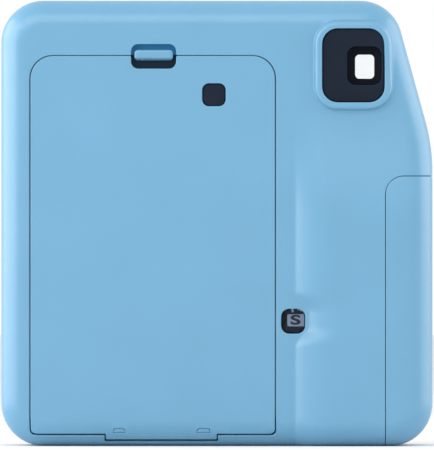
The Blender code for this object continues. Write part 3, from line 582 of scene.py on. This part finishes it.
def grip(points):
    """How far the grip swells out of the rear face."""
    x, z = points[:, 0], points[:, 1]
    notch = ease((z - NOTCH[0]) / NOTCH_EASE) * ease((NOTCH[1] - z) / NOTCH_EASE)
    share = (x - GRIP_X - NOTCH_SHIFT * notch) / GRIP_STEP
    step = 1 - (1 - np.clip(share, 0.0, 1.0)) ** 2
    return GRIP_HEIGHT * step * ease((GRIP_TOP - z) / (GRIP_TOP - GRIP_FULL))


def box_depth(points, u, v, radius):
    """How far points lie inside a rounded rectangle, and negative outside."""
    centre = np.array(((u[0] + u[1]) / 2, (v[0] + v[1]) / 2))
    half = np.array(((u[1] - u[0]) / 2 - radius, (v[1] - v[0]) / 2 - radius))
    away = np.abs(points - centre) - half
    outside = np.linalg.norm(np.maximum(away, 0.0), axis=1)
    return radius - outside - np.minimum(away.max(axis=1), 0.0)


RIM_X, RIM_Z, RIM_CORNER = grown(EYEPIECE_X, RIM_WIDTH), grown(EYEPIECE_Z, RIM_WIDTH), 6.6
RIM_FILLET = 0.45
RIM_ROUND = 1.15


def rim(points):
    """The eyepiece rim: a small fillet at its foot, then a rounded shoulder."""
    d = box_depth(points, RIM_X, RIM_Z, RIM_CORNER)
    foot = RIM_FILLET - np.sqrt(RIM_FILLET**2 - np.clip(d + RIM_FILLET, 0.0, RIM_FILLET) ** 2)
    share = 1 - np.clip(d / RIM_ROUND, 0.0, 1.0)
    top = (RIM_RISE - RIM_FILLET) * np.sqrt(1 - share**2)
    return np.where(d < 0, foot, RIM_FILLET + top)


def rear_height(points):
    """Everything that stands up from the rear face."""
    return grip(points) + rim(points)


def nothing(points):
    """A face with no swelling."""
    return np.zeros(len(points))


def case_place(plane, outward, rounding, seam, height):
    """Rolls the flat plane over the case's rounded edge and down its side walls."""
    reach = abs(plane - seam) - rounding
    turns = []
    for corner, radius, arriving, leaving in bends(moved_corners(CASE_CORNERS, rounding)):
        length = radius * math.tan(arriving.angle(leaving) / 2)
        start, end = corner - arriving * length, corner + leaving * length
        centre = start + leftward(arriving) * radius
        turns.append((start, end, centre, radius, arriving, leaving))

    def place(points, depth):
        foot = points.copy()
        normal = np.zeros_like(points)
        beyond = np.zeros(len(points))
        for index, (_, end, centre, radius, arriving, leaving) in enumerate(turns):
            spoke = points - np.array(centre)
            size = np.linalg.norm(spoke, axis=1)
            ahead = spoke @ np.array(arriving) >= -NEAR
            behind = spoke @ np.array(leaving) <= NEAR
            outer = (spoke @ np.array((arriving.y, -arriving.x)) > -NEAR) & (size > radius)
            chosen = ahead & behind & outer
            unit = spoke[chosen] / size[chosen, None]
            foot[chosen] = np.array(centre) + unit * radius
            normal[chosen] = unit
            beyond[chosen] = size[chosen] - radius
            finish = turns[(index + 1) % len(turns)][0]
            across = np.array((leaving.y, -leaving.x))
            along = (points - np.array(end)) @ np.array(leaving)
            rise = (points - np.array(end)) @ across
            chosen = (along > -NEAR) & (along < (finish - end).length + NEAR) & (rise > 0)
            foot[chosen] = points[chosen] - rise[chosen, None] * across
            normal[chosen] = across
            beyond[chosen] = rise[chosen]
        angle = np.minimum(beyond / rounding, math.pi / 2)
        extra = np.maximum(beyond - rounding * math.pi / 2, 0.0)
        spot = foot + normal * ((rounding - depth) * np.sin(angle))[:, None]
        back = rounding - (rounding - depth) * np.cos(angle) + extra
        swell = height(spot) * (1 - extra / reach)
        y = plane - outward * back + outward * swell
        return np.column_stack((spot[:, 0], y, spot[:, 1]))

    return place


def unrolled(inset, rounding=REAR_ROUNDING):
    """Where a place at an inset from the silhouette lies in the unrolled plane."""
    return rounding - rounding * math.asin((rounding - inset) / rounding)


def wall_reach(plane, seam, rounding):
    """The seam's inset in the unrolled plane."""
    return rounding - rounding * math.pi / 2 - (abs(plane - seam) - rounding)


REAR = case_place(REAR_PLANE, -1.0, REAR_ROUNDING, SEAM, rear_height)
FRONT = case_place(FRONT_PLANE, 1.0, FRONT_ROUNDING, SEAM + GAP, nothing)


EDGE_ROWS, WALL_ROWS = 9, 4


def ring_spots(rounding, reach, span):
    """Points in rows that follow the case's rounded edge and side walls."""
    rows = [rounding - k * rounding * math.pi / 2 / EDGE_ROWS for k in range(EDGE_ROWS + 1)]
    side = rows[-1]
    rows += [side + (reach - side) * k / WALL_ROWS for k in range(1, WALL_ROWS)]
    spots = []
    for inset in rows:
        spots.extend(loop(moved_corners(CASE_CORNERS, inset), steps=CORNER_STEPS, span=span)(0.0))
    return [tuple(p) for p in spots]


def grid_spots(x, z, dx, dz):
    """A staggered grid of points."""
    rows = np.arange(z[0], z[1], dz)
    return [(u + dx / 2 * (k % 2), v) for k, v in enumerate(rows) for u in np.arange(x[0], x[1], dx)]


def swollen_spots():
    """Points where the grip swells: close together along its step and round the counter."""
    band = (21.2, 37.6)
    spots = grid_spots(band, (-6.0, 26.5), 0.6, 1.3) + grid_spots(band, (26.5, 45.0), 0.5, 0.5)
    spots += grid_spots(band, (45.0, 95.0), 0.6, 1.6) + grid_spots((band[1], 54.0), (7.6, 95.0), 3.0, 3.0)
    return spots + grid_spots((19.0, 29.0), (95.0, 119.0), 4.0, 4.0)


def clear_of_rim(spots):
    """Leaves out the points at the rim, which has lines of its own."""
    spots = np.asarray(spots, float)
    margin = 2 * RIM_FILLET
    return spots[box_depth(spots, grown(RIM_X, margin), grown(RIM_Z, margin), RIM_CORNER) < 0]


# ---- The case ----


def door_corners(gap_side, gap_top, gap_low, notch):
    """The film door with its hinge tab in the unrolled plane; notch says whose top edge the recess takes."""
    left, right = DOOR_X[0] + DOOR_INSET - gap_side, DOOR_X[1] - DOOR_INSET + gap_side
    bottom, tab = unrolled(DOOR_BOTTOM - gap_low), unrolled(TAB_BOTTOM - gap_low * TAB_GAP_SHARE)
    top = DOOR_TOP + gap_top
    tab_left, tab_right = TAB_X[0] - gap_side, TAB_X[1] + gap_side
    corners = [(left, bottom, 1.5), (tab_left, bottom, 0.3), (tab_left, tab, 0.4)]
    corners += [(tab_right, tab, 0.4), (tab_right, bottom, 0.3), (right, bottom, 1.5)]
    corners.append((right, top, DOOR_CORNER + gap_top))
    level = RECESS_Z[0] if notch == "door" else RECESS_Z[1]
    corners += [(RECESS_X[1], top, 0.35), (RECESS_X[1], level, 2.0)]
    corners += [(RECESS_X[0], level, 2.0), (RECESS_X[0], top, 0.35)]
    return corners + [(left, top, DOOR_CORNER + gap_top)]


def relieved(points, depth):
    """The rear surface, with a thinner wall under the door so that its lower edge can swing."""
    across = (points[:, 0] > DOOR_X[0] - 1) & (points[:, 0] < DOOR_X[1] + 1)
    below = (points[:, 1] < unrolled(DOOR_BOTTOM)) & (points[:, 1] > RELIEF_LOW)
    return REAR(points, np.where(across & below, np.minimum(depth, RELIEF_WALL), depth))


def build_rear_case():
    """The rear half: grip, eyepiece rim, door opening, counter opening and film exit."""
    reach = wall_reach(REAR_PLANE, SEAM, REAR_ROUNDING)
    far = moved_corners(CASE_CORNERS, reach)
    cover = [(BATTERY_X, far[0][1], 0.3), (BATTERY_X, BATTERY_TOP, 5.3), (far[1][0], BATTERY_TOP, 0.3)]
    exit_z = [HEIGHT - wall_reach(REAR_PLANE, y, REAR_ROUNDING) for y in EXIT_Y]
    loops = [
        loop([far[0], *cover, *far[2:]], steps=CORNER_STEPS),
        loop(door_corners(DOOR_SIDE_GAP, DOOR_TOP_GAP, DOOR_LOW_GAP, "shell"), hole=True),
        box_loop(EYEPIECE_X, EYEPIECE_Z, EYEPIECE_CORNER + EYEPIECE_GAP, EYEPIECE_GAP, hole=True),
        box_loop(COUNTER_X, COUNTER_Z, 2.3, hole=True),
        box_loop(EXIT_X, exit_z, 0.6, hole=True),
    ]
    insets = (-RIM_FILLET, -0.3, -0.12, 0.0, 0.02, 0.09, 0.22, 0.42, 0.7, 1.0, 1.2)
    lines = [box_loop(RIM_X, RIM_Z, RIM_CORNER, steps=CORNER_STEPS)(inset) for inset in insets]
    spots = clear_of_rim(ring_spots(REAR_ROUNDING, reach, SPAN) + swollen_spots())
    mesh = panel("rear_case", loops, relieved, WALL, 0.25, 1.6, spots, lines)
    piece("rear_case", mesh, "case_plastic", "housing", ["rear_shell"])


def finger_corners(span, gap):
    """A hinge knuckle's outline in the unrolled plane, made wider by a gap."""
    low, high = unrolled(FINGER_Z[0]) - gap, unrolled(FINGER_Z[1]) + gap
    left, right = grown(span, gap)
    return [(left, low, 0.2), (right, low, 0.2), (right, high, 0.7), (left, high, 0.7)]


def build_hinge_knuckles():
    """The two plugs that close the door's hinge openings."""
    for side, span in zip(("left", "right"), FINGERS):
        name = "hinge_knuckle_" + side
        mesh = panel(name, [loop(finger_corners(span, -FINGER_GAP), span=0.8)], REAR, 1.0, 0.2)
        piece(name, mesh, "case_plastic", "film_door")


def build_film_door():
    """The film door with its hinge tab, latch recess and film window opening."""
    window_x, _, window_z = ranges("film_window")
    spots = grid_spots((-52.0, 16.0), (1.6, 7.2), 2.5, 1.1) + grid_spots((-50, 15), (9, 108), 9, 9)
    loops = [
        loop(door_corners(0.0, 0.0, 0.0, "door")),
        box_loop(window_x, window_z, 1.9, 0.12, hole=True),
        *(loop(finger_corners(span, FINGER_GAP), hole=True, span=0.8) for span in FINGERS),
    ]
    mesh = panel("film_door_panel", loops, REAR, WALL, 0.25, 0.0, spots)
    piece("film_door_panel", mesh, "case_plastic", "film_door", ["film_door"])
    mesh = panel("film_window_glass", [box_loop(window_x, window_z, 1.8)], flat_place(WINDOW_LEVEL), 1.2, 0.3)
    piece("film_window_glass", mesh, "tinted_plastic", "film_door", ["film_window"])


def build_door_ledges():
    """The light-trap ledges under the door's gap, either side of the latch."""
    left, right = DOOR_X
    low = 8.0
    under, over = DOOR_TOP - 1.2, DOOR_TOP + 1.5
    near, far = RECESS_X[0] - 1.7, RECESS_X[1] + 1.5
    first = [(left - 1.5, low, 0.3), (left + 1.2, low, 0.3), (left + 1.2, under, 5.0), (near, under, 0.3)]
    first += [(near, over, 0.3), (left - 1.5, over, 7.5)]
    second = [(far, under, 0.3), (right - 1.3, under, 5.0), (right - 1.3, low, 0.3), (right + 1.5, low, 0.3)]
    second += [(right + 1.5, over, 7.5), (far, over, 0.3)]
    for side, corners in (("left", first), ("right", second)):
        name = "door_ledge_" + side
        mesh = panel(name, [loop(corners)], flat_place(INNER_LEVEL), 0.6, 0.1)
        piece(name, mesh, "case_plastic", "housing")


def build_battery_cover():
    """The battery cover, which wraps round the lower corner of the grip."""
    reach = wall_reach(REAR_PLANE, SEAM - GAP, REAR_ROUNDING)
    far = HALF - reach
    left, top = BATTERY_X + COVER_GAP, BATTERY_TOP - COVER_GAP
    corners = [(left, reach, 0.3), (far, reach, CASE_CORNER - reach), (far, top, 0.3), (left, top, 5.0)]
    spots = ring_spots(REAR_ROUNDING, reach, SPAN) + grid_spots((49.0, 54.0), (7.6, 76.0), 3.0, 3.0)
    mesh = panel("battery_cover_shell", [loop(corners, steps=CORNER_STEPS)], REAR, WALL, 0.12, 0.0, spots)
    nodes = ["battery_cover"]
    piece("battery_cover_shell", mesh, "case_plastic", "battery_cover", nodes)


LENS_OPENING, BUTTON_OPENING, SCREW_OPENING = 24.8, 6.8, 2.2
SCREW_X, SCREW_Y = (-40.0, 4.0, 32.0), 6.0


def build_front_case():
    """The front half with its openings, and the lip that closes the seam from inside."""
    seam = SEAM + GAP
    reach = wall_reach(FRONT_PLANE, seam, FRONT_ROUNDING)
    finder_x, _, finder_z = ranges("finder_front_lens")
    flash_x, _, flash_z = ranges("flash_window")
    sensor_x, _, sensor_z = ranges("sensor_window")
    button_x, _, button_z = ranges("shutter_button")
    button = (sum(button_x) / 2, sum(button_z) / 2)
    loops = [
        loop(moved_corners(CASE_CORNERS, reach), steps=CORNER_STEPS),
        ring_loop(LENS, LENS_OPENING, hole=True),
        box_loop(finder_x, finder_z, 1.3, GAP, hole=True),
        box_loop(flash_x, flash_z, 2.3, GAP, hole=True),
        box_loop(sensor_x, sensor_z, 2.7, GAP, hole=True),
        ring_loop(button, BUTTON_OPENING, hole=True, sides=64),
    ]
    base = wall_reach(FRONT_PLANE, SCREW_Y, FRONT_ROUNDING)
    loops += [ring_loop((x, base), SCREW_OPENING, hole=True, sides=32) for x in SCREW_X]
    spots = ring_spots(FRONT_ROUNDING, reach, SPAN * 1.2) + grid_spots((-52, 52), (9, 117), 10, 10)
    mesh = panel("front_case", loops, FRONT, WALL, 0.3, 0.0, spots)
    piece("front_case", mesh, "case_plastic", "housing", ["front_shell"])
    outer, inner = WALL + 0.04, WALL + 0.8
    lip = [(outer, seam - 2.6), (outer, seam + 1.4), (inner, seam + 1.4), (inner, seam - 2.2)]
    rings = [rounded(CASE_CORNERS, inset, CORNER_STEPS) for inset, _ in lip]
    count = len(rings[0])
    points = [(p.x, y, p.y) for ring, (_, y) in zip(rings, lip) for p in ring]
    faces = []
    for row in range(len(lip)):
        above = (row + 1) % len(lip)
        for k in range(count):
            after = (k + 1) % count
            faces.append((row * count + k, row * count + after, above * count + after, above * count + k))
    piece("seam_lip", solid("seam_lip", points, faces), "case_plastic", "housing")


# ---- The rear's fittings ----


def build_latch():
    """The latch bar in its recess, its sliding plate and the case's keeper behind the recess."""
    bar_x, bar_z = (-23.3, -12.4), (109.0, 112.0)
    bar_level, slide_level, neck_level = -26.3, -23.7, -24.4
    brow_drop, brow_width = 1.3, 0.8

    def brow(points):
        return -brow_drop * ease((bar_z[0] + brow_width - points[:, 1]) / brow_width)

    spots = grid_spots(grown(bar_x, -0.9), grown(bar_z, -0.9), 1.0, 0.25)
    loops = [box_loop(bar_x, bar_z, 1.0, span=1.0)]
    mesh = panel("latch_bar", loops, flat_place(bar_level, shape=brow), 2.2, 0.6, 0.3, spots, (), 0.05)
    piece("latch_bar", mesh, "latch_plastic", "door_latch", ["door_latch"])
    # The slide plate takes the dark dial plastic as painted shade, darkening the hollow under the bar.
    loops = [box_loop((-25.4, -10.6), (103.0, 110.2), 1.0)]
    mesh = panel("latch_slide", loops, flat_place(slide_level), 0.8, 0.2, 0.2)
    piece("latch_slide", mesh, "dial_plastic", "door_latch")
    loops = [box_loop((-22.0, -14.0), (109.6, 110.2), 0.15)]
    mesh = panel("latch_neck", loops, flat_place(neck_level), 1.0, 0.1)
    piece("latch_neck", mesh, "latch_plastic", "door_latch")
    # The keeper plate is drawn in a darker blue with painted shade, standing for the shaded recess floor
    # above the bar.
    keeper_z = (110.5, ranges("latch_keeper")[2][1])
    loops = [box_loop(grown(RECESS_X, 1.2), keeper_z, 1.0)]
    mesh = panel("latch_keeper_plate", loops, flat_place(INNER_LEVEL), 0.8, 0.25, 0.2)
    piece("latch_keeper_plate", mesh, "deep_plastic", "housing", ["latch_keeper"])


SIGHT_X, SIGHT_Z = (39.0, 44.6), (103.8, 110.7)
WELL_X, WELL_Z, WELL_CORNER = (36.9, 46.5), (102.1, 112.9), 2.4


def build_eyepiece():
    """The dark panel with its recessed sight, and the lens behind it."""
    bezel_level, well_level, glass_level = -27.0, -25.9, -24.1
    well_depth, well_slope = 0.9, 1.8
    well = box_loop(WELL_X, WELL_Z, WELL_CORNER, hole=True)
    loops = [box_loop(EYEPIECE_X, EYEPIECE_Z, EYEPIECE_CORNER), well]
    mesh = panel("eyepiece_bezel", loops, flat_place(bezel_level), 2.6, 0.35, 0.0)
    piece("eyepiece_bezel", mesh, "gloss_black", "housing", ["eyepiece_panel"])

    def slope(points):
        return -well_depth * ease(box_depth(points, WELL_X, WELL_Z, WELL_CORNER) / well_slope)

    mouth = box_loop(grown(SIGHT_X, -0.1), grown(SIGHT_Z, -0.05), 1.2, hole=True, span=1.0)
    lines = [box_loop(WELL_X, WELL_Z, WELL_CORNER, span=1.0)(k * 0.3) for k in range(1, 6)]
    loops = [box_loop(WELL_X, WELL_Z, WELL_CORNER), mouth]
    mesh = panel("sight_surround", loops, flat_place(well_level, shape=slope), 1.5, 0.15, 0.0, (), lines)
    piece("sight_surround", mesh, "well_plastic", "housing")
    loops = [box_loop(EYEPIECE_X, EYEPIECE_Z, 5.3, 1.0), box_loop(SIGHT_X, SIGHT_Z, 1.6, 1.0, hole=True)]
    mesh = panel("eyepiece_flange", loops, flat_place(INNER_LEVEL), 0.7, 0.1)
    piece("eyepiece_flange", mesh, "black_plastic", "housing")

    def bulge(points):
        away = ((points - np.array((sum(SIGHT_X) / 2, sum(SIGHT_Z) / 2))) ** 2).sum(axis=1)
        return 0.25 * np.clip(1 - away / 40, 0, 1)

    spots = grid_spots(grown(SIGHT_X, 0.5), grown(SIGHT_Z, 0.5), 1.0, 1.0)
    loops = [box_loop(SIGHT_X, SIGHT_Z, 1.2, 0.8)]
    mesh = panel("eyepiece_glass", loops, flat_place(glass_level, shape=bulge), 1.0, 0.1, 0.1, spots)
    piece("eyepiece_glass", mesh, "clear_plastic", "housing", ["eyepiece_lens"])


INK_DEPTH = 0.03
DIAL_STEP = 24.0
NUMBER_LEAN = math.radians(30.0)
START_X, START_Z = (19.95, 24.55), (33.85, 37.25)


def lettering(name, rows, centre, level, size, weight, wide, lean, look):
    """Printed characters round the dial: rows are (text, angle, radius) and read upright at nine o'clock."""
    made = []
    for text, angle, radius in rows:
        curve = bpy.data.curves.new(name, "FONT")
        curve.body = text
        curve.align_x, curve.align_y = "CENTER", "CENTER"
        curve.size = size * MM
        curve.offset = weight * MM
        curve.extrude = INK_DEPTH * MM
        letter = bpy.data.objects.new(name, curve)
        bpy.context.scene.collection.objects.link(letter)
        turn = math.radians(angle)
        at = Vector((centre[0] - radius * math.cos(turn), level, centre[1] + radius * math.sin(turn))) * MM
        stretch = Matrix.Scale(wide, 4, (1.0, 0.0, 0.0))
        upright = Matrix.Rotation(turn - lean, 4, "Y") @ Matrix.Rotation(math.pi / 2, 4, "X")
        letter.matrix_world = Matrix.Translation(at) @ upright
        bpy.context.view_layer.update()
        mesh = bpy.data.meshes.new_from_object(letter.evaluated_get(bpy.context.evaluated_depsgraph_get()))
        mesh.transform(letter.matrix_world @ stretch)
        bpy.data.objects.remove(letter)
        bpy.data.curves.remove(curve)
        made.append(mesh)
    work = bmesh.new()
    for mesh in made:
        work.from_mesh(mesh)
        bpy.data.meshes.remove(mesh)
    bmesh.ops.remove_doubles(work, verts=work.verts, dist=TINY)
    joined = bpy.data.meshes.new(name)
    work.to_mesh(joined)
    work.free()
    piece(name, joined, look, "counter_dial")


def build_counter():
    """The counter window, its dial with generic numbers, and the start mark."""
    dial_x, dial_y, dial_z = ranges("counter_dial")
    centre = (sum(dial_x) / 2, sum(dial_z) / 2)
    radius = (dial_x[1] - dial_x[0]) / 2
    loops = [ring_loop(centre, radius), ring_loop(centre, 1.7, hole=True, sides=32)]
    mesh = panel("counter_disc", loops, flat_place(dial_y[0]), 1.2, 0.12, 0.12)
    piece("counter_disc", mesh, "dial_plastic", "counter_dial", ["counter_dial"])
    mesh = panel("start_patch", [box_loop(START_X, START_Z, 0.35)], flat_place(dial_y[0] - 0.04), 0.06, 0.02)
    piece("start_patch", mesh, "print_ink", "counter_dial")
    reach = centre[0] - sum(START_X) / 2
    lettering(
        "start_letter", [("S", 0.0, reach)], (centre[0], centre[1] + 0.25), dial_y[0] - 0.07,
        size=3.7, weight=0.13, wide=1.7, lean=0.0, look="dark_ink",
    )
    numbers = [(str(10 - k), DIAL_STEP * (k + 1), reach + 0.6) for k in range(11)]
    lettering(
        "dial_numbers", numbers, centre, dial_y[0] - 0.02,
        size=4.3, weight=0.07, wide=1.1, lean=NUMBER_LEAN, look="print_ink",
    )
    loops = [box_loop(COUNTER_X, COUNTER_Z, 2.0, -GAP)]
    mesh = panel("counter_glass", loops, flat_place(WINDOW_LEVEL), 1.2, 0.25, 0.1)
    piece("counter_glass", mesh, "tinted_clear", "housing", ["counter_window"])


# ---- The front's fittings ----


RIB_RISE, RIB_WIDTH = 0.12, 1.2


def ribs(points):
    """Fine upright ribs on the flash window."""
    return RIB_RISE * np.abs(np.sin(points[:, 0] * math.pi / RIB_WIDTH))


def build_front_fittings():
    """Flash window, sensor window, finder lens and shutter button."""
    x, y, z = ranges("flash_window")
    spots = grid_spots(grown(x, -0.4), grown(z, -0.6), 0.3, 3.0)
    place = flat_place(y[1] - RIB_RISE, 1.0, ribs)
    mesh = panel("flash_window_glass", [box_loop(x, z, 2.0)], place, 1.2, 0.25, 0.1, spots)
    piece("flash_window_glass", mesh, "clear_plastic", "housing", ["flash_window"])
    x, y, z = ranges("sensor_window")
    mesh = panel("sensor_cover", [box_loop(x, z, 2.4)], flat_place(y[1], 1.0), 1.2, 0.3, 0.1)
    piece("sensor_cover", mesh, "tinted_plastic", "housing", ["sensor_window"])
    x, y, z = ranges("finder_front_lens")
    mesh = panel("finder_glass", [box_loop(x, z, 1.0)], flat_place(y[1], 1.0), 1.2, 0.25, 0.1)
    piece("finder_glass", mesh, "clear_plastic", "housing", ["finder_front_lens"])
    x, y, z = ranges("shutter_button")
    centre = (sum(x) / 2, sum(z) / 2)
    low, high = y
    angles = np.linspace(0.1, math.pi / 2, 7)
    dish = [(r, high - 0.35 + 0.3 * (r / 5.0) ** 2) for r in (0.0, 1.0, 2.0, 3.0, 4.0, 4.8)]
    shoulder = [(5.3 + 1.1 * math.sin(a), high - 1.15 + 1.1 * math.cos(a)) for a in angles]
    foot = [(6.4, low + 1.3), (6.5, low + 1.2), (7.5, low + 1.2), (7.6, low + 1.1), (7.6, low), (0.0, low)]
    mesh = lathe("button_cap", centre, dish + shoulder + foot, 72)
    piece("button_cap", mesh, "white_plastic", "shutter_button", ["shutter_button"])


def arc_corners(corners, steps=5):
    """A closed profile with rounded corners, as (radius, height) pairs."""
    return [tuple(p) for p in rounded(corners, 0.0, steps)]


KNURL_TEETH, KNURL_DEPTH = 72, 0.45
GROOVE_INNER, GROOVE_OUTER, GROOVE_WIDTH, GROOVE_DEPTH = 12.4, 16.6, 0.7, 0.16


def build_lens_rings():
    """The base collar, the ribbed control ring and the barrel."""
    low, high = ranges("lens_base_ring")[1]
    profile = [(32.4, low, 0.1), (35.2, low, 0.1), (35.2, high - 0.6, 0.9)]
    profile += [(34.2, high, 0.5), (32.4, high, 0.3)]
    mesh = lathe("lens_base_collar", LENS, arc_corners(profile), 144)
    piece("lens_base_collar", mesh, "case_plastic", "housing", ["lens_base_ring"])
    low, high = RING_Y
    outer = (RING_X[1] - RING_X[0]) / 2
    profile = [(24.9, low, 0.2), (outer, low, 0.3), (outer, high, 1.6)]
    profile += [(26.6, high, 0.6), (24.9, high - 1.5, 0.4)]
    points = arc_corners(profile, 6)
    profile = []
    for a, b in zip(points, points[1:] + points[:1]):
        profile.append(a)
        if abs(a[0] - outer) < TINY and abs(b[0] - outer) < TINY:
            profile += [(outer, a[1] + (b[1] - a[1]) * s) for s in (0.06, 0.12, 0.2, 0.5, 0.8, 0.88, 0.94)]

    def knurl(radius, y, angle):
        ribbed = radius > outer - 0.1 and low + 1.0 < y < high - 2.2
        return radius - (KNURL_DEPTH * (0.5 + 0.5 * math.cos(angle * KNURL_TEETH)) ** 2 if ribbed else 0.0)

    mesh = lathe("lens_control_ring", LENS, profile, 6 * KNURL_TEETH, knurl)
    piece("lens_control_ring", mesh, "grey_plastic", "lens_ring", ["lens_ring"])
    start, end = ranges("lens_barrel")[1]
    profile = [(24.2, end, 0.6), (24.2, start, 0.2), (22.7, start, 0.2), (22.7, end - 1.5, 0.4)]
    profile += [(11.2, end - 1.5, 0.2), (11.2, end, 0.3)]
    mesh = lathe("lens_barrel_tube", LENS, arc_corners(profile), 120)
    piece("lens_barrel_tube", mesh, "black_plastic", "lens_barrel", ["lens_barrel"])


def grooves(points):
    """Round grooves in the lens face."""
    away = np.linalg.norm(points - np.array(LENS), axis=1)
    wave = -GROOVE_DEPTH * np.abs(np.sin((away - GROOVE_INNER) * math.pi / GROOVE_WIDTH))
    return np.where((away > GROOVE_INNER) & (away < GROOVE_OUTER), wave, 0.0)


def build_lens_face():
    """The grooved face, the self-portrait mirror and the front and rear glasses."""
    mirror_x, mirror_y, mirror_z = ranges("selfie_mirror")
    mirror = (sum(mirror_x) / 2, sum(mirror_z) / 2)
    loops = [ring_loop(LENS, 23.3), ring_loop(LENS, 11.6, hole=True)]
    loops.append(ring_loop(mirror, 3.75, hole=True, sides=48))
    lines = [ring_loop(LENS, GROOVE_INNER + GROOVE_WIDTH / 4 * k)(0.0) for k in range(25)]
    lines = [line for line in lines if not inside([tuple(p) for p in line], loops[2](0.5)).any()]
    low, high = ranges("lens_face")[1]
    mesh = panel("lens_face_plate", loops, flat_place(high, 1.0, grooves), high - low, 0.3, 0.0, (), lines)
    piece("lens_face_plate", mesh, "gloss_black", "lens_barrel", ["lens_face"])
    low, high = mirror_y
    dome = [(r, high - 0.45 * (r / 3.5) ** 2) for r in (0, 0.7, 1.4, 2.1, 2.8, 3.3)]
    mesh = lathe("portrait_mirror", mirror, dome + [(3.5, high - 0.55), (3.5, low), (0.0, low)], 48)
    piece("portrait_mirror", mesh, "bright_metal", "lens_barrel", ["selfie_mirror"])
    low, high = ranges("lens_front_element")[1]
    dome = [(r, high - 2.2 * (r / 10.8) ** 2) for r in np.linspace(0.0, 10.6, 12)]
    edge = [(10.8, high - 2.3), (10.8, low + 0.1), (10.7, low), (0.0, low)]
    nodes = ["lens_front_element"]
    mesh = lathe("front_lens_glass", LENS, dome + edge, 96)
    piece("front_lens_glass", mesh, "clear_plastic", "lens_barrel", nodes)
    low, high = ranges("lens_rear_element")[1]
    middle = (low + high) / 2
    front = [(r, high - 0.9 * (r / 6.2) ** 2) for r in np.linspace(0.0, 6.1, 8)]
    back = [(r, low + 0.9 * (r / 6.2) ** 2) for r in np.linspace(6.1, 0.0, 8)]
    mesh = lathe("rear_lens_glass", LENS, front + [(6.2, middle + 0.5), (6.2, middle - 0.5)] + back, 64)
    piece("rear_lens_glass", mesh, "clear_plastic", "housing", ["lens_rear_element"])


def dress_nodes():
    """Gives every CAD node its finished material, for those that no piece replaces."""
    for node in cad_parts.values():
        for slot in node.material_slots:
            base = slot.material.name.split(".")[0] if slot.material else "black_plastic"
            slot.material = LOOKS.get(base, LOOKS["black_plastic"])


# ---- Stage ----


def softbox(name, place, target, size, power, colour=(1, 1, 1)):
    """A soft rectangular lamp that the camera doesn't see."""
    lamp = bpy.data.lights.new(name, "AREA")
    lamp.shape = "RECTANGLE"
    lamp.size, lamp.size_y = size
    lamp.energy = power
    lamp.color = colour
    made = bpy.data.objects.new(name, lamp)
    bpy.context.scene.collection.objects.link(made)
    made.location = place
    made.rotation_euler = (Vector(target) - Vector(place)).to_track_quat("-Z", "Y").to_euler()
    made.visible_camera = False


# In metres: the camera sees VIEW_WIDTH across at VIEW_Y, from far enough for an almost flat view.
SENSOR = 36.0
CAMERA_DISTANCE = 4.0
VIEW_WIDTH, VIEW_Y = 0.12735, -0.020
CAMERA_X, CAMERA_Z = 0.00006, 0.0625
FLOOR = 4.0


def build_stage():
    """Pale floor, soft light and the camera straight behind the object."""
    mesh = bpy.data.meshes.new("floor")
    corners = [(-FLOOR, -FLOOR, 0), (FLOOR, -FLOOR, 0), (FLOOR, FLOOR, 0), (-FLOOR, FLOOR, 0)]
    mesh.from_pydata(corners, [], [(0, 1, 2, 3)])
    floor = bpy.data.objects.new("floor", mesh)
    bpy.context.scene.collection.objects.link(floor)
    pale, _ = shader("floor_look", (0.78, 0.78, 0.78), 0.7)
    mesh.materials.append(pale)
    world = bpy.data.worlds.new("studio")
    bpy.context.scene.world = world
    world.use_nodes = True
    background = world.node_tree.nodes["Background"]
    background.inputs["Color"].default_value = (1.0, 1.0, 1.0, 1.0)
    background.inputs["Strength"].default_value = 1.0
    middle = (0.0, 0.0, HEIGHT / 2 * MM)
    softbox("left_box", (-0.8, -0.05, 0.2), middle, (1.3, 0.9), 11.0, (1.0, 0.93, 0.92))
    softbox("right_box", (0.8, 0.05, 0.2), middle, (0.9, 0.9), 5.0, (1.0, 0.94, 0.93))
    softbox("top_box", (-0.2, -0.7, 0.6), middle, (0.8, 0.5), 2.0)
    camera = bpy.data.cameras.new("camera")
    made = bpy.data.objects.new("camera", camera)
    bpy.context.scene.collection.objects.link(made)
    camera.sensor_width = SENSOR
    camera.lens = SENSOR * CAMERA_DISTANCE / VIEW_WIDTH
    camera.clip_end = 50.0
    made.location = (CAMERA_X, VIEW_Y - CAMERA_DISTANCE, CAMERA_Z)
    made.rotation_euler = (math.pi / 2, 0.0, 0.0)
    bpy.context.scene.camera = made
    bpy.context.scene.view_settings.view_transform = "Standard"


dress_nodes()
build_rear_case()
build_hinge_knuckles()
build_film_door()
build_door_ledges()
build_battery_cover()
build_front_case()
build_latch()
build_eyepiece()
build_counter()
build_front_fittings()
build_lens_rings()
build_lens_face()
build_stage()
